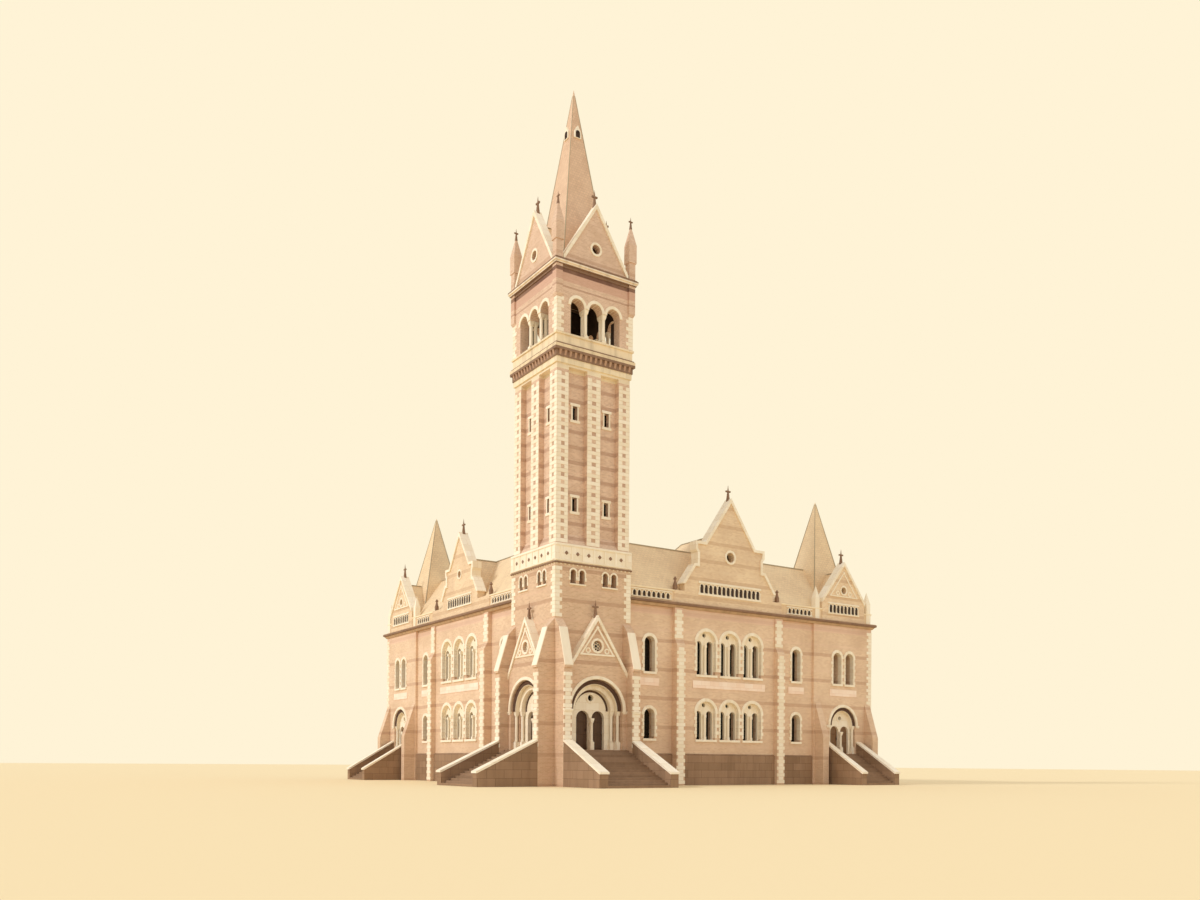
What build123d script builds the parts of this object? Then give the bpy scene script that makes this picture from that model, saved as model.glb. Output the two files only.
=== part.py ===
from build123d import *
import os

# A corner church of polychrome brick: a campanile over two street porches, and two matching street ranges
# with arcaded windows, a great gable and an end pavilion with a steep roof.
# Sizes are millimetres of a half-size model, so 500 here is one metre of the real building.
# -Y and -X are the two streets. A street front is drawn in (u, z): u runs along the street from the tower's
# axis, and v is the way out to it. At the end all is moved so that the origin is at ground level in the middle
# of the plan.

# Joints between pieces
joint_gap = 0.5
cut = 50.0
point_width = 1.0

# Levels
floor_level = 1175.0
floor_thickness = 125.0
plinth_height = 1050.0
plinth_projection = 50.0
plinth_chamfer = 50.0
lower_sill = 1600.0
lower_spring = 2525.0
upper_floor_level = 3450.0
upper_sill = 3875.0
upper_spring = 4985.0
cornice_bottom = 6120.0
cornice_height = 200.0
cornice_projection = 150.0
parapet_height = 420.0
parapet_setback = 25.0
parapet_inner = 75.0
parapet_cap = 45.0
parapet_nosing = 30.0

# Walls
wall_inner = 925.0
link_wall_thickness = 300.0
front_wall_thickness = 400.0

# Plan, along each street from the tower's axis
centre_bay_start = 3375.0
centre_bay_width = 5000.0
outer_link_width = 1675.0
pavilion_width = 3150.0

# Tower
tower_base_half = 1450.0
tower_wall_thickness = 450.0
tower_base_height = 7150.0
frieze_height = 600.0
frieze_projection = 30.0
shaft_half = 1400.0
shaft_wall_thickness = 350.0
shaft_height = 5750.0
belfry_cornice_height = 600.0
belfry_cornice_projection = 75.0
belfry_cornice_steps = ((0.35, 0.3), (0.55, 0.63), (1.0, 0.93), (0.8, 1.0))
belfry_half = 1460.0
belfry_wall_thickness = 330.0
belfry_sill_height = 350.0
sill_course_height = 60.0
sill_course_projection = 40.0
belfry_height = 2400.0
tower_cornice_height = 275.0
tower_cornice_projection = 140.0
tower_cornice_steps = ((0.25, 0.3), (0.7, 0.55), (1.0, 0.86), (0.75, 1.0))
spire_height = 6625.0
spire_half = 940.0
spire_skin = 90.0
ceiling_thickness = 150.0

# Openings of the tower
lancet_width = 200.0
lancet_drop = 650.0
lancet_height = 450.0
lancet_offset = 615.0
lancet_spacing = 330.0
panel_width = 700.0
panel_spacing = 1220.0
panel_depth = 190.0
panel_foot = 370.0
panel_margin = 75.0
slit_width = 175.0
slit_height = 450.0
slit_shares = (0.235, 0.748)
belfry_arch_radius = 250.0
belfry_arch_spacing = 690.0
belfry_arch_count = 3
belfry_spring_height = 940.0
belfry_column_radius = 60.0
belfry_column_block = 160.0
belfry_column_foot = 90.0

# Gables, roof and corner turrets of the tower
tower_gable_rise = 1945.0
tower_gable_half = 1210.0
tower_gable_thickness = 220.0
tower_oculus_share = 0.33
tower_oculus_radius = 150.0
tower_roof_drop = 250.0
tower_roof_skin = 90.0
tower_roof_setback = 20.0
turret_middle = 1400.0
turret_width = 240.0
turret_head_width = 300.0
turret_head_height = 600.0
turret_corbel = 250.0
turret_drop = 850.0
turret_rise = 1175.0
turret_cap = 700.0
lucarne_share = 0.735
lucarne_width = 260.0
lucarne_height = 420.0
lucarne_projection = 40.0

# Porches of the tower
porch_projection = 250.0
porch_jamb = 160.0
porch_eaves = 3550.0
porch_apex = 5350.0
outer_order_width = 160.0
inner_order_width = 150.0
portal_spring = 2450.0
hood_width = 110.0
hood_projection = 35.0
order_setback = 90.0
inner_order_depth = 150.0
rose_level = 4530.0
rose_radius = 170.0
screen_thickness = 130.0
mullion_width = 100.0
door_width = 490.0
door_head = 2450.0
roundel_level = 2870.0
roundel_radius = 105.0
nook_radius = 50.0
nook_block = 140.0
pedestal_height = 260.0
capital_height = 130.0
capital_slab = 40.0
buttress_width = 290.0
buttress_projection = 600.0
buttress_shoulder = 3750.0
buttress_drip = 55.0
drip_height = 60.0
buttress_head_projection = 275.0
buttress_head = 5050.0
buttress_top = 5350.0

# Doors, hung on strap hinges behind the portal screens
door_thickness = 32.0
door_clearance = 6.0
door_overlap = 25.0
door_rebate = 5.0
hinge_shares = (0.18, 0.84)
hinge_length = 60.0
hinge_offset = 20.0
hinge_radius = 13.0
hinge_pin_radius = 7.0
hinge_play = 0.3
hinge_reach = 60.0
strap_length = 400.0
strap_thickness = 8.0
inner_door_half = 375.0
inner_door_head = 2475.0

# Street windows
bay_arch_radius = 420.0
bay_arch_spacing = 1075.0
bay_arch_count = 3
light_width = 270.0
light_spacing = 500.0
light_spring_drop = 45.0
oculus_rise = 295.0
oculus_radius = 75.0
tracery_setback = 125.0
tracery_thickness = 100.0
mullion_radius = 38.0
mullion_block = 100.0
single_radius = 220.0
single_spring_drop = 120.0
pavilion_window_spacing = 665.0
apron_projection = 22.0
sill_margin = 60.0
sill_height = 80.0
sill_projection = 50.0
apron_bottom = 3400.0
apron_height = 260.0
apron_margin = 180.0
glass_thickness = 12.0
glass_margin = 60.0
back_window_count = 5

# Gables of the street fronts, with heights measured up from their foot; the west one is the south one made
# smaller
gable_thickness = 300.0
gable_foot_level = 7000.0
gable_rise = 3075.0
gable_slope = 1.47
kneeler_rise = 1450.0
kneeler_reach = 1500.0
kneeler_height = 170.0
kneeler_splay = 100.0
gable_neck_half = 1420.0
shoulder_rise = 650.0
shoulder_half = 1600.0
gable_foot_half = 2050.0
gable_oculus_rise = 1130.0
gable_oculus_radius = 175.0
west_gable_scale = 0.74
pavilion_gable_rise = 1480.0
pavilion_gable_half = 1150.0
pavilion_oculus_rise = 520.0
pavilion_oculus_radius = 130.0
coping_thickness = 95.0
coping_overhang = 50.0
coping_back = 20.0
pinnacle_offset = 1400.0
pinnacle_width = 220.0
pinnacle_shaft = 800.0
pinnacle_cap = 480.0
finial_width = 105.0
finial_height = 600.0
finial_arm = 210.0
finial_arm_share = 0.6
turret_finial_height = 420.0

# Street buttresses
pier_width = 350.0
pier_projection = 200.0
pier_weathering = 4800.0
pier_weathering_height = 250.0
pier_head_projection = 60.0
pavilion_pier_offset = 1350.0
pavilion_pier_width = 300.0
pavilion_pier_projection = 450.0
pavilion_pier_shoulder = 1800.0
pavilion_pier_top = 3150.0

# Portals of the pavilions
pavilion_arch_radius = 700.0
pavilion_inner_radius = 560.0
pavilion_spring = 2275.0
pavilion_door_width = 440.0
pavilion_door_head = 2250.0
pavilion_roundel_level = 2560.0
pavilion_roundel_radius = 80.0
pavilion_order_setback = 40.0
pavilion_screen_setback = 180.0
pavilion_screen_thickness = 120.0

# Roofs
roof_setback = 150.0
roof_top = 8500.0
roof_run = 1400.0
roof_thickness = 100.0
cross_rise = 2350.0
cross_roof_length = 4600.0
pavilion_ridge_drop = 200.0
pavilion_roof_top = 11300.0
pavilion_roof_slope = 0.22
pavilion_roof_skin = 80.0

# Steps
step_count = 15
step_going = 163.0
pavilion_step_going = 130.0
cheek_width = 300.0
cheek_rise = 420.0
cheek_coping = 60.0
cheek_nosing = 40.0
cheek_overhang = 20.0
pavilion_cheek_width = 240.0
pavilion_step_half = 760.0

# Derived places
street_face = wall_inner + front_wall_thickness
link_face = wall_inner + link_wall_thickness
porch_face = tower_base_half + porch_projection
tower_inner_half = tower_base_half - tower_wall_thickness
porch_half = tower_base_half - buttress_width
porch_arch_radius = porch_half - porch_jamb
portal_radius = porch_arch_radius - outer_order_width
portal_inner_radius = portal_radius - inner_order_width
lancet_sill = tower_base_height - lancet_drop
cornice_top = cornice_bottom + cornice_height
cornice_face = street_face + cornice_projection
eaves_level = cornice_top + parapet_height
centre_bay_end = centre_bay_start + centre_bay_width
centre_axis = (centre_bay_start + centre_bay_end) / 2
link_axis = (tower_base_half + centre_bay_start) / 2
pavilion_start = centre_bay_end + outer_link_width
outer_link_axis = (centre_bay_end + pavilion_start) / 2
pavilion_end = pavilion_start + pavilion_width
pavilion_axis = (pavilion_start + pavilion_end) / 2
back_inner = pavilion_end - front_wall_thickness
pier_offset = centre_bay_width / 2 - pier_width / 2
frieze_top = tower_base_height + frieze_height
shaft_top = frieze_top + shaft_height
belfry_floor = shaft_top + belfry_cornice_height
belfry_sill = belfry_floor + belfry_sill_height
belfry_spring = belfry_sill + belfry_spring_height
belfry_top = belfry_floor + belfry_height
tower_eaves = belfry_top + tower_cornice_height
tower_gable_apex = tower_eaves + tower_gable_rise
tower_top = tower_eaves + spire_height
spire_slope = spire_half / spire_height
lucarne_level = tower_eaves + lucarne_share * spire_height
belfry_reach = belfry_half + belfry_cornice_projection
tower_cornice_reach = belfry_half + tower_cornice_projection
pavilion_gable_apex = gable_foot_level + pavilion_gable_rise
pavilion_ridge = pavilion_gable_apex - pavilion_ridge_drop
parapet_face = street_face - parapet_setback
parapet_back = wall_inner + parapet_inner
roof_edge = parapet_face - roof_setback
gable_back = street_face - gable_thickness
riser = floor_level / step_count
steps_reach = porch_face + step_count * step_going + cheek_nosing
site_middle = (pavilion_end + cornice_projection - steps_reach) / 2

nodes = {}
diagonal = Plane(origin=(0, 0, 0), z_dir=(1, -1, 0))


def keep(name, *shapes):
    """Files the solids of shapes under a node's name."""
    for shape in shapes:
        nodes.setdefault(name, []).extend(shape.solids())


def south(shape):
    return shape


def west(shape):
    return mirror(shape, about=diagonal)


def keep_both(name, *shapes):
    """Files shapes drawn on the south street, and their mirror images on the west street."""
    for shape in shapes:
        keep(name, south(shape), west(shape))


def four_sides(shape):
    return [Rot(0, 0, turn) * shape for turn in (0, 90, 180, 270)]


def block(u0, u1, v0, v1, z0, z1):
    return Pos((u0 + u1) / 2, -(v0 + v1) / 2, (z0 + z1) / 2) * Box(u1 - u0, v1 - v0, z1 - z0)


def rect(u0, u1, z0, z1):
    return Pos((u0 + u1) / 2, (z0 + z1) / 2) * Rectangle(u1 - u0, z1 - z0)


def polygon(*points):
    return make_face(Polyline(*points, close=True))


def mirrored_outline(*points):
    """A closed outline about u = 0, from the points of its right-hand side, top first."""
    left = [(-u, z) for u, z in reversed(points) if u > 0]
    return polygon(*points, *left)


def arch(u, sill, spring, radius):
    return rect(u - radius, u + radius, sill, spring) + Pos(u, spring) * Circle(radius)


def half_ring(u, spring, inner, outer):
    """The upper half of a ring, cut off one joint above its springing."""
    ring = Circle(outer) - Circle(inner) - Pos(0, joint_gap - outer) * Rectangle(2 * outer, 2 * outer)
    return Pos(u, spring) * ring


def front(sketch, v0, v1):
    """A sketch in (u, z), made as deep as from v0 out to v1."""
    return Plane.XZ.offset(v0) * extrude(sketch, amount=v1 - v0)


def along(sketch, u0, u1):
    """A sketch in (v, z), run along the street."""
    return Plane(origin=(u1, 0, 0), x_dir=(0, -1, 0), z_dir=(-1, 0, 0)) * extrude(sketch, amount=u1 - u0)


def square_ring(half, thickness, z0, z1):
    outer = block(-half, half, -half, half, z0, z1)
    inner_half = half - thickness
    return outer - block(-inner_half, inner_half, -inner_half, inner_half, z0 - cut, z1 + cut)


def south_quarter(shape):
    """The part of a square ring on its south side, mitred at the corners."""
    reach = pavilion_end
    wedge = polygon((0, -joint_gap), (reach, -reach - joint_gap), (-reach, -reach - joint_gap))
    return shape & extrude(wedge, tower_top)


def pyramid(half, z0, z1):
    """A square pyramid from z0 to its point at z1."""
    base = Plane.XY.offset(z0) * Rectangle(2 * half, 2 * half)
    tip = Plane.XY.offset(z1) * Rectangle(point_width, point_width)
    return loft([base, tip])


def shaft(u, v, radius, z0, z1):
    """An eight-sided column shaft."""
    profile = Plane.XY.offset(z0) * (Pos(u, -v) * Rot(0, 0, 22.5) * RegularPolygon(radius, 8))
    return extrude(profile, z1 - z0)


def doorway(u, half, spring):
    return arch(u, floor_level, spring, half)


def storeys_of_wall(door_spring, top):
    """Heights of a wall's courses below, beside and over a doorway, with a joint between them."""
    return (0, floor_level - joint_gap), (floor_level, door_spring), (door_spring + joint_gap, top)


def build_tower_base():
    """Four walls with portals to the streets and doorways to the halls, split beside and over each."""
    side = south_quarter(square_ring(tower_base_half, tower_wall_thickness, 0, tower_base_height))
    lancets = Sketch()
    big = tower_base_half + cut
    for middle in (-lancet_offset, lancet_offset):
        for offset in (-lancet_spacing / 2, lancet_spacing / 2):
            spring = lancet_sill + lancet_height - lancet_width / 2
            lancets += arch(middle + offset, lancet_sill, spring, lancet_width / 2)
    portal = front(doorway(0, portal_radius, portal_spring) + lancets, 0, big)
    inner = front(rect(-inner_door_half, inner_door_half, floor_level, inner_door_head), 0, big)
    for opening, head, turns in ((portal, portal_spring, (0, -90)), (inner, inner_door_head, (90, 180))):
        for turn in turns:
            for z0, z1 in storeys_of_wall(head, tower_base_height):
                zone = block(-big, big, 0, big, z0, z1)
                keep("tower_base_walls", Rot(0, 0, turn) * ((side - opening) & zone))


def build_porch():
    gable = mirrored_outline((0, porch_apex), (porch_half, porch_eaves), (porch_half, 0))
    opening = doorway(0, porch_arch_radius, portal_spring) + Pos(0, rose_level) * Circle(rose_radius)
    for z0, z1 in storeys_of_wall(portal_spring, porch_apex):
        keep_both("porch_fronts", front((gable - opening) & rect(-porch_half, porch_half, z0, z1),
                                        tower_base_half, porch_face))
    coping = gable_coping(gable, porch_half, porch_eaves, tower_base_half, porch_face + coping_overhang)
    keep_both("porch_copings", coping)
    keep_both("finials", seated_finial(0, porch_face - porch_projection / 2, porch_apex, coping))


def finial(u, v, foot, height=finial_height):
    """A tapered stem with a cross-bar."""
    thickness = finial_width * height / finial_height
    arm = finial_arm * height / finial_height
    bar = Pos(0, 0, height * finial_arm_share) * Box(arm, thickness / 2, thickness / 2)
    return Pos(u, -v, foot) * (pyramid(thickness / 2, 0, height) + bar)


def seated_finial(u, v, apex, coping):
    """A finial fitted over the point of a gable's coping."""
    return finial(u, v, apex + coping_thickness) - coping


def gable_coping(outline, half, bottom, v0, v1):
    """The sloping stones over a gable's outline, kept within half to each side and above bottom."""
    ring = offset(outline, amount=coping_thickness, kind=Kind.INTERSECTION) - outline
    return front(ring & rect(-half, half, bottom, tower_top), v0, v1)


def nook_column(u, v, top):
    """A shaft between a square pedestal and a splayed capital."""
    half = nook_block / 2
    foot_top = floor_level + pedestal_height
    pedestal = block(u - half, u + half, v - half, v + half, floor_level, foot_top)
    stem = shaft(u, v, nook_radius, foot_top, top - capital_slab)
    return pedestal + stem + column_head(u, v, nook_radius, nook_block, top)


def build_portal():
    """Arch orders on nook columns, and a screen with two door openings and a roundel."""
    outer_face = porch_face - order_setback
    inner_face = tower_base_half
    screen_face = inner_face - inner_order_depth
    hood = half_ring(0, portal_spring, porch_arch_radius, porch_arch_radius + hood_width)
    keep_both("portal_arches", front(hood, porch_face, porch_face + hood_projection))
    outer_order = half_ring(0, portal_spring, portal_radius, porch_arch_radius)
    keep_both("portal_arches", front(outer_order, tower_base_half, outer_face))
    inner_order = half_ring(0, portal_spring, portal_inner_radius, portal_radius)
    keep_both("portal_arches", front(inner_order, screen_face, inner_face - joint_gap))
    for sign in (-1, 1):
        outer_u = sign * (porch_arch_radius + portal_radius) / 2
        inner_u = sign * (portal_inner_radius + portal_radius) / 2
        keep_both("portal_columns", nook_column(outer_u, tower_base_half + nook_block / 2, portal_spring))
        keep_both("portal_columns", nook_column(inner_u, screen_face + nook_block / 2, portal_spring))
    screen = doorway(0, portal_radius, portal_spring)
    leaf_axis = (mullion_width + door_width) / 2
    for sign in (-1, 1):
        screen -= doorway(sign * leaf_axis, door_width / 2, door_head - door_width / 2)
    screen -= Pos(0, roundel_level) * Circle(roundel_radius)
    screen_back = screen_face - screen_thickness
    keep_both("portal_screens", front(screen, screen_back, screen_face))
    keep_both("portal_columns", nook_column(0, screen_face + nook_block / 2, door_head - door_width / 2))
    door_face = screen_back - door_rebate
    leaf = door_leaf(door_face)
    other_leaf = mirror(leaf, about=Plane.YZ)
    keep("south_right_door", south(leaf))
    keep("south_left_door", south(other_leaf))
    keep("west_left_door", west(leaf))
    keep("west_right_door", west(other_leaf))
    for level in hinge_levels():
        bracket = hinge_bracket(door_face, level)
        keep_both("door_hinges", bracket, mirror(bracket, about=Plane.YZ))


def hinge_levels():
    return [floor_level + share * (door_head - floor_level) for share in hinge_shares]


def hinge_place(door_face):
    """The hinge axis of a right-hand leaf, in (u, v)."""
    return mullion_width / 2 + door_width + door_overlap, door_face - door_thickness - hinge_offset


def hinge_bracket(door_face, level):
    """An arm from the back of the screen, with the pin that the leaf's eye turns on."""
    u, v = hinge_place(door_face)
    screen_back = door_face + door_rebate
    edge = hinge_pin_radius
    arm = block(u - edge, u + hinge_reach, v - edge, v + edge, level - hinge_offset, level)
    post = block(u + hinge_reach - 2 * edge, u + hinge_reach, v - edge, screen_back, level - hinge_offset,
                 level + hinge_length)
    pin = Pos(u, -v, level + hinge_length / 2) * Cylinder(hinge_pin_radius, hinge_length)
    return arm + post + pin


def door_leaf(door_face):
    """A boarded leaf with a strap and an eye at each hinge; its eyes turn on the brackets' pins."""
    u, v = hinge_place(door_face)
    back = door_face - door_thickness
    leaf = block(door_clearance, u, back, door_face, floor_level + door_clearance, door_head + door_overlap)
    for level in hinge_levels():
        z0 = level + hinge_play
        z1 = level + hinge_length
        eye = Pos(u, -v, (z0 + z1) / 2) * Cylinder(hinge_radius, z1 - z0)
        web = block(u - hinge_radius, u, v, back, z0, z1)
        strap = block(u - strap_length, u, back - strap_thickness, back, z0, z1)
        pin_way = Pos(u, -v, level) * Cylinder(hinge_pin_radius + hinge_play, 2 * hinge_length)
        leaf += eye + web + strap
        leaf -= pin_way
    return leaf


def build_tower_buttresses():
    foot = tower_base_half + buttress_projection
    profile = polygon((tower_base_half, 0), (foot, 0), (foot, buttress_shoulder),
                      (foot + buttress_drip, buttress_shoulder),
                      (foot + buttress_drip, buttress_shoulder + drip_height),
                      (tower_base_half + buttress_head_projection, buttress_head),
                      (tower_base_half, buttress_top))
    for start in (-tower_base_half, tower_base_half - buttress_width):
        keep_both("tower_buttresses", along(profile, start, start + buttress_width))


def build_frieze():
    course = square_ring(tower_base_half + frieze_projection, tower_wall_thickness + frieze_projection,
                         tower_base_height, frieze_top)
    keep("tower_frieze", *four_sides(south_quarter(course)))


def build_shaft():
    side = south_quarter(square_ring(shaft_half, shaft_wall_thickness, frieze_top, shaft_top))
    recess_back = shaft_half - panel_depth
    recess = polygon((shaft_half + cut, frieze_top - cut), (shaft_half, frieze_top), (recess_back,
                     frieze_top + panel_foot), (recess_back, shaft_top - panel_margin),
                     (shaft_half + cut, shaft_top - panel_margin))
    slits = Sketch()
    for middle in (-panel_spacing / 2, panel_spacing / 2):
        side -= along(recess, middle - panel_width / 2, middle + panel_width / 2)
        for share in slit_shares:
            level = frieze_top + share * shaft_height
            slits += rect(middle - slit_width / 2, middle + slit_width / 2, level - slit_height / 2,
                          level + slit_height / 2)
    side -= front(slits, 0, shaft_half + cut)
    keep("tower_shaft", *four_sides(side))


def stepped_ring(inner_half, face, reach, z0, z1, steps):
    """Square courses one above the other. Each step gives a share of the reach beyond the face, and of the height."""
    ring = Part()
    bottom = z0
    for out_share, height_share in steps:
        half = face + out_share * (reach - face)
        top = z0 + height_share * (z1 - z0)
        ring += block(-half, half, -half, half, bottom, top)
        bottom = top
    return ring - block(-inner_half, inner_half, -inner_half, inner_half, z0 - cut, z1 + cut)


def build_belfry():
    wall_back = belfry_half - belfry_wall_thickness
    cornice = stepped_ring(wall_back, shaft_half, belfry_reach, shaft_top, belfry_floor, belfry_cornice_steps)
    dado_share = 1 - sill_course_height / belfry_sill_height
    dado = stepped_ring(wall_back, belfry_half, belfry_half + sill_course_projection, belfry_floor, belfry_sill,
                        ((0, dado_share), (1, 1)))
    keep("belfry_cornice", *four_sides(south_quarter(cornice + dado)))
    opening_half = belfry_arch_spacing * (belfry_arch_count - 1) / 2 + belfry_arch_radius
    corner = block(opening_half, belfry_half, opening_half, belfry_half, belfry_sill, belfry_spring)
    turret = corner_turret()
    keep("belfry_piers", *four_sides(corner - turret))
    head = south_quarter(square_ring(belfry_half, belfry_wall_thickness, belfry_spring + joint_gap, belfry_top))
    for index in range(belfry_arch_count):
        middle = (index - (belfry_arch_count - 1) / 2) * belfry_arch_spacing
        head -= front(Pos(middle, belfry_spring) * Circle(belfry_arch_radius), 0, belfry_half + cut)
    head -= turret + Rot(0, 0, -90) * turret
    keep("belfry_walls", *four_sides(head))
    for index in range(belfry_arch_count - 1):
        middle = (index - (belfry_arch_count - 2) / 2) * belfry_arch_spacing
        for v in (belfry_half - belfry_column_block / 2, wall_back + belfry_column_block / 2):
            keep("belfry_columns", *four_sides(belfry_column(middle, v)))


def column_head(u, v, radius, block_width, top):
    """A splayed capital and the square slab on it."""
    slab_foot = top - capital_slab
    neck = Plane.XY.offset(top - capital_height) * Rectangle(2 * radius, 2 * radius)
    abacus = Plane.XY.offset(slab_foot) * Rectangle(block_width, block_width)
    slab = Pos(0, 0, (slab_foot + top) / 2) * Box(block_width, block_width, capital_slab)
    return Pos(u, -v, 0) * (loft([neck, abacus]) + slab)


def belfry_column(u, v):
    half = belfry_column_block / 2
    foot_top = belfry_sill + belfry_column_foot
    foot = block(u - half, u + half, v - half, v + half, belfry_sill, foot_top)
    stem = shaft(u, v, belfry_column_radius, foot_top, belfry_spring - capital_slab)
    return foot + stem + column_head(u, v, belfry_column_radius, belfry_column_block, belfry_spring)


def corner_turret():
    """The south-east turret: a corbelled square shaft with a wider head and a slender cap."""
    foot = belfry_top - turret_drop
    head_top = tower_eaves + turret_rise
    head_foot = head_top - turret_head_height
    inset = turret_middle - turret_width / 2
    tip = Plane.XY.offset(foot - turret_corbel) * (Pos(inset + turret_width / 4, -inset - turret_width / 4)
                                                   * Rectangle(turret_width / 2, turret_width / 2))
    top = Plane.XY.offset(foot) * (Pos(turret_middle, -turret_middle) * Rectangle(turret_width, turret_width))
    stem = Pos(0, 0, (foot + head_foot) / 2) * Box(turret_width, turret_width, head_foot - foot)
    head = Pos(0, 0, (head_foot + head_top) / 2) * Box(turret_head_width, turret_head_width, turret_head_height)
    cap = pyramid(turret_head_width / 2, head_top, head_top + turret_cap)
    return loft([tip, top]) + Pos(turret_middle, -turret_middle, 0) * (stem + head + cap)


def build_tower_top():
    turret = corner_turret()
    keep("corner_turrets", *four_sides(turret))
    cap_top = tower_eaves + turret_rise + turret_cap
    foot = cap_top - turret_finial_height / 3
    point = finial(turret_middle, turret_middle, foot, turret_finial_height) - turret
    keep("finials", *four_sides(point))
    wall_back = belfry_half - belfry_wall_thickness
    cornice = stepped_ring(wall_back, belfry_half, tower_cornice_reach, belfry_top, tower_eaves,
                           tower_cornice_steps)
    side = south_quarter(cornice) - turret - Rot(0, 0, -90) * turret
    keep("tower_cornice", *four_sides(side))
    gable = mirrored_outline((0, tower_gable_apex), (tower_gable_half, tower_eaves))
    gable_inner = belfry_half - tower_gable_thickness
    oculus = Pos(0, tower_eaves + tower_gable_rise * tower_oculus_share) * Circle(tower_oculus_radius)
    keep("tower_gables", *four_sides(front(gable - oculus, gable_inner, belfry_half)))
    coping_half = turret_middle - turret_head_width / 2 - joint_gap
    coping = gable_coping(gable, coping_half, tower_eaves, gable_inner - coping_back,
                          belfry_half + coping_overhang)
    keep("tower_gable_copings", *four_sides(coping))
    middle_v = belfry_half - tower_gable_thickness / 2
    keep("finials", *four_sides(seated_finial(0, middle_v, tower_gable_apex, coping)))
    outer = pyramid(spire_half, tower_eaves, tower_top)
    inner = pyramid(spire_half - spire_skin, tower_eaves - joint_gap, tower_top - spire_skin / spire_slope)
    keep("spire", outer - inner)
    back = gable_inner - tower_roof_setback
    ridge = tower_gable_apex - tower_roof_drop
    slope = tower_gable_rise / tower_gable_half
    half = (ridge - tower_eaves) / slope
    section = mirrored_outline((0, ridge), (half, tower_eaves))
    inside = mirrored_outline((0, ridge - tower_roof_skin * slope),
                              (half - tower_roof_skin, tower_eaves - joint_gap))
    roofs = front(section, -back, back) + Rot(0, 0, 90) * front(section, -back, back)
    hollow = front(inside, -back, back) + Rot(0, 0, 90) * front(inside, -back, back)
    keep("tower_roof", roofs - hollow - outer)
    build_lucarnes(outer)


def build_lucarnes(spire_solid):
    """A small gabled opening on each face of the spire."""
    half = lucarne_width / 2
    v = (tower_top - lucarne_level) * spire_slope + lucarne_projection
    outline = mirrored_outline((0, lucarne_level + lucarne_height), (half, lucarne_level + lucarne_height / 2),
                               (half, lucarne_level))
    near_half = block(-half, half, 0, v, lucarne_level, tower_top)
    keep("spire_lucarnes", *four_sides((front(outline, 0, v) - spire_solid) & near_half))


def build_tower_floors():
    plates = [(level, tower_inner_half, floor_thickness)
              for level in (floor_level, upper_floor_level, tower_base_height)]
    belfry_inner = belfry_half - belfry_wall_thickness
    plates += [(level, belfry_inner, ceiling_thickness) for level in (belfry_floor, tower_eaves)]
    for level, half, thickness in plates:
        keep("tower_floors", block(-half, half, -half, half, level - thickness, level))


def build_link_walls():
    """The narrower walls beside the tower and beside the pavilion, one round-arched window over another."""
    for start, end, middle in ((tower_base_half, centre_bay_start, link_axis),
                               (centre_bay_end, pavilion_start, outer_link_axis)):
        outline = rect(start, end, 0, cornice_bottom)
        for sill, spring in window_rows():
            outline -= arch(middle, sill, spring - single_spring_drop, single_radius)
            window_sill(middle, sill, single_radius, link_face)
        keep_both("link_walls", front(outline, wall_inner, link_face))
        apron(middle - single_radius - apron_margin, middle + single_radius + apron_margin, link_face)


def window_rows():
    return ((lower_sill, lower_spring), (upper_sill, upper_spring))


def window_sill(middle, sill, radius, face):
    half = radius + sill_margin
    keep_both("window_sills", block(middle - half, middle + half, face, face + sill_projection,
                                    sill - sill_height, sill))


def build_glass():
    """One sheet of glass to each storey, against the inside of the street walls."""
    start = link_axis - single_radius - glass_margin
    upper_end = pavilion_axis + pavilion_window_spacing / 2 + single_radius + glass_margin
    lower_end = outer_link_axis + single_radius + glass_margin
    for (sill, spring), end in zip(window_rows(), (lower_end, upper_end)):
        sheet = rect(start, end, sill - glass_margin, spring + bay_arch_radius + glass_margin)
        keep_both("window_glass", front(sheet, wall_inner - glass_thickness, wall_inner))


def apron(u0, u1, face):
    keep_both("apron_bands", block(u0, u1, face, face + apron_projection, apron_bottom,
                                   apron_bottom + apron_height))


def build_centre_bay():
    """The great bay: three two-light windows in each storey between buttress piers."""
    outline = rect(centre_bay_start, centre_bay_end, 0, cornice_bottom)
    for index in range(bay_arch_count):
        middle = centre_axis + (index - (bay_arch_count - 1) / 2) * bay_arch_spacing
        for sill, spring in window_rows():
            outline -= arch(middle, sill, spring, bay_arch_radius)
            window_sill(middle, sill, bay_arch_radius, street_face)
            tracery(middle, sill, spring)
    keep_both("centre_bay_walls", front(outline, wall_inner, street_face))
    half = bay_arch_spacing * (bay_arch_count - 1) / 2 + bay_arch_radius + apron_margin
    apron(centre_axis - half, centre_axis + half, street_face)
    profile = polygon((street_face, 0), (street_face + pier_projection, 0),
                      (street_face + pier_projection, pier_weathering),
                      (street_face + pier_head_projection, pier_weathering + pier_weathering_height),
                      (street_face + pier_head_projection, cornice_bottom), (street_face, cornice_bottom))
    for middle in (centre_axis - pier_offset, centre_axis + pier_offset):
        keep_both("street_buttresses", along(profile, middle - pier_width / 2, middle + pier_width / 2))


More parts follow.
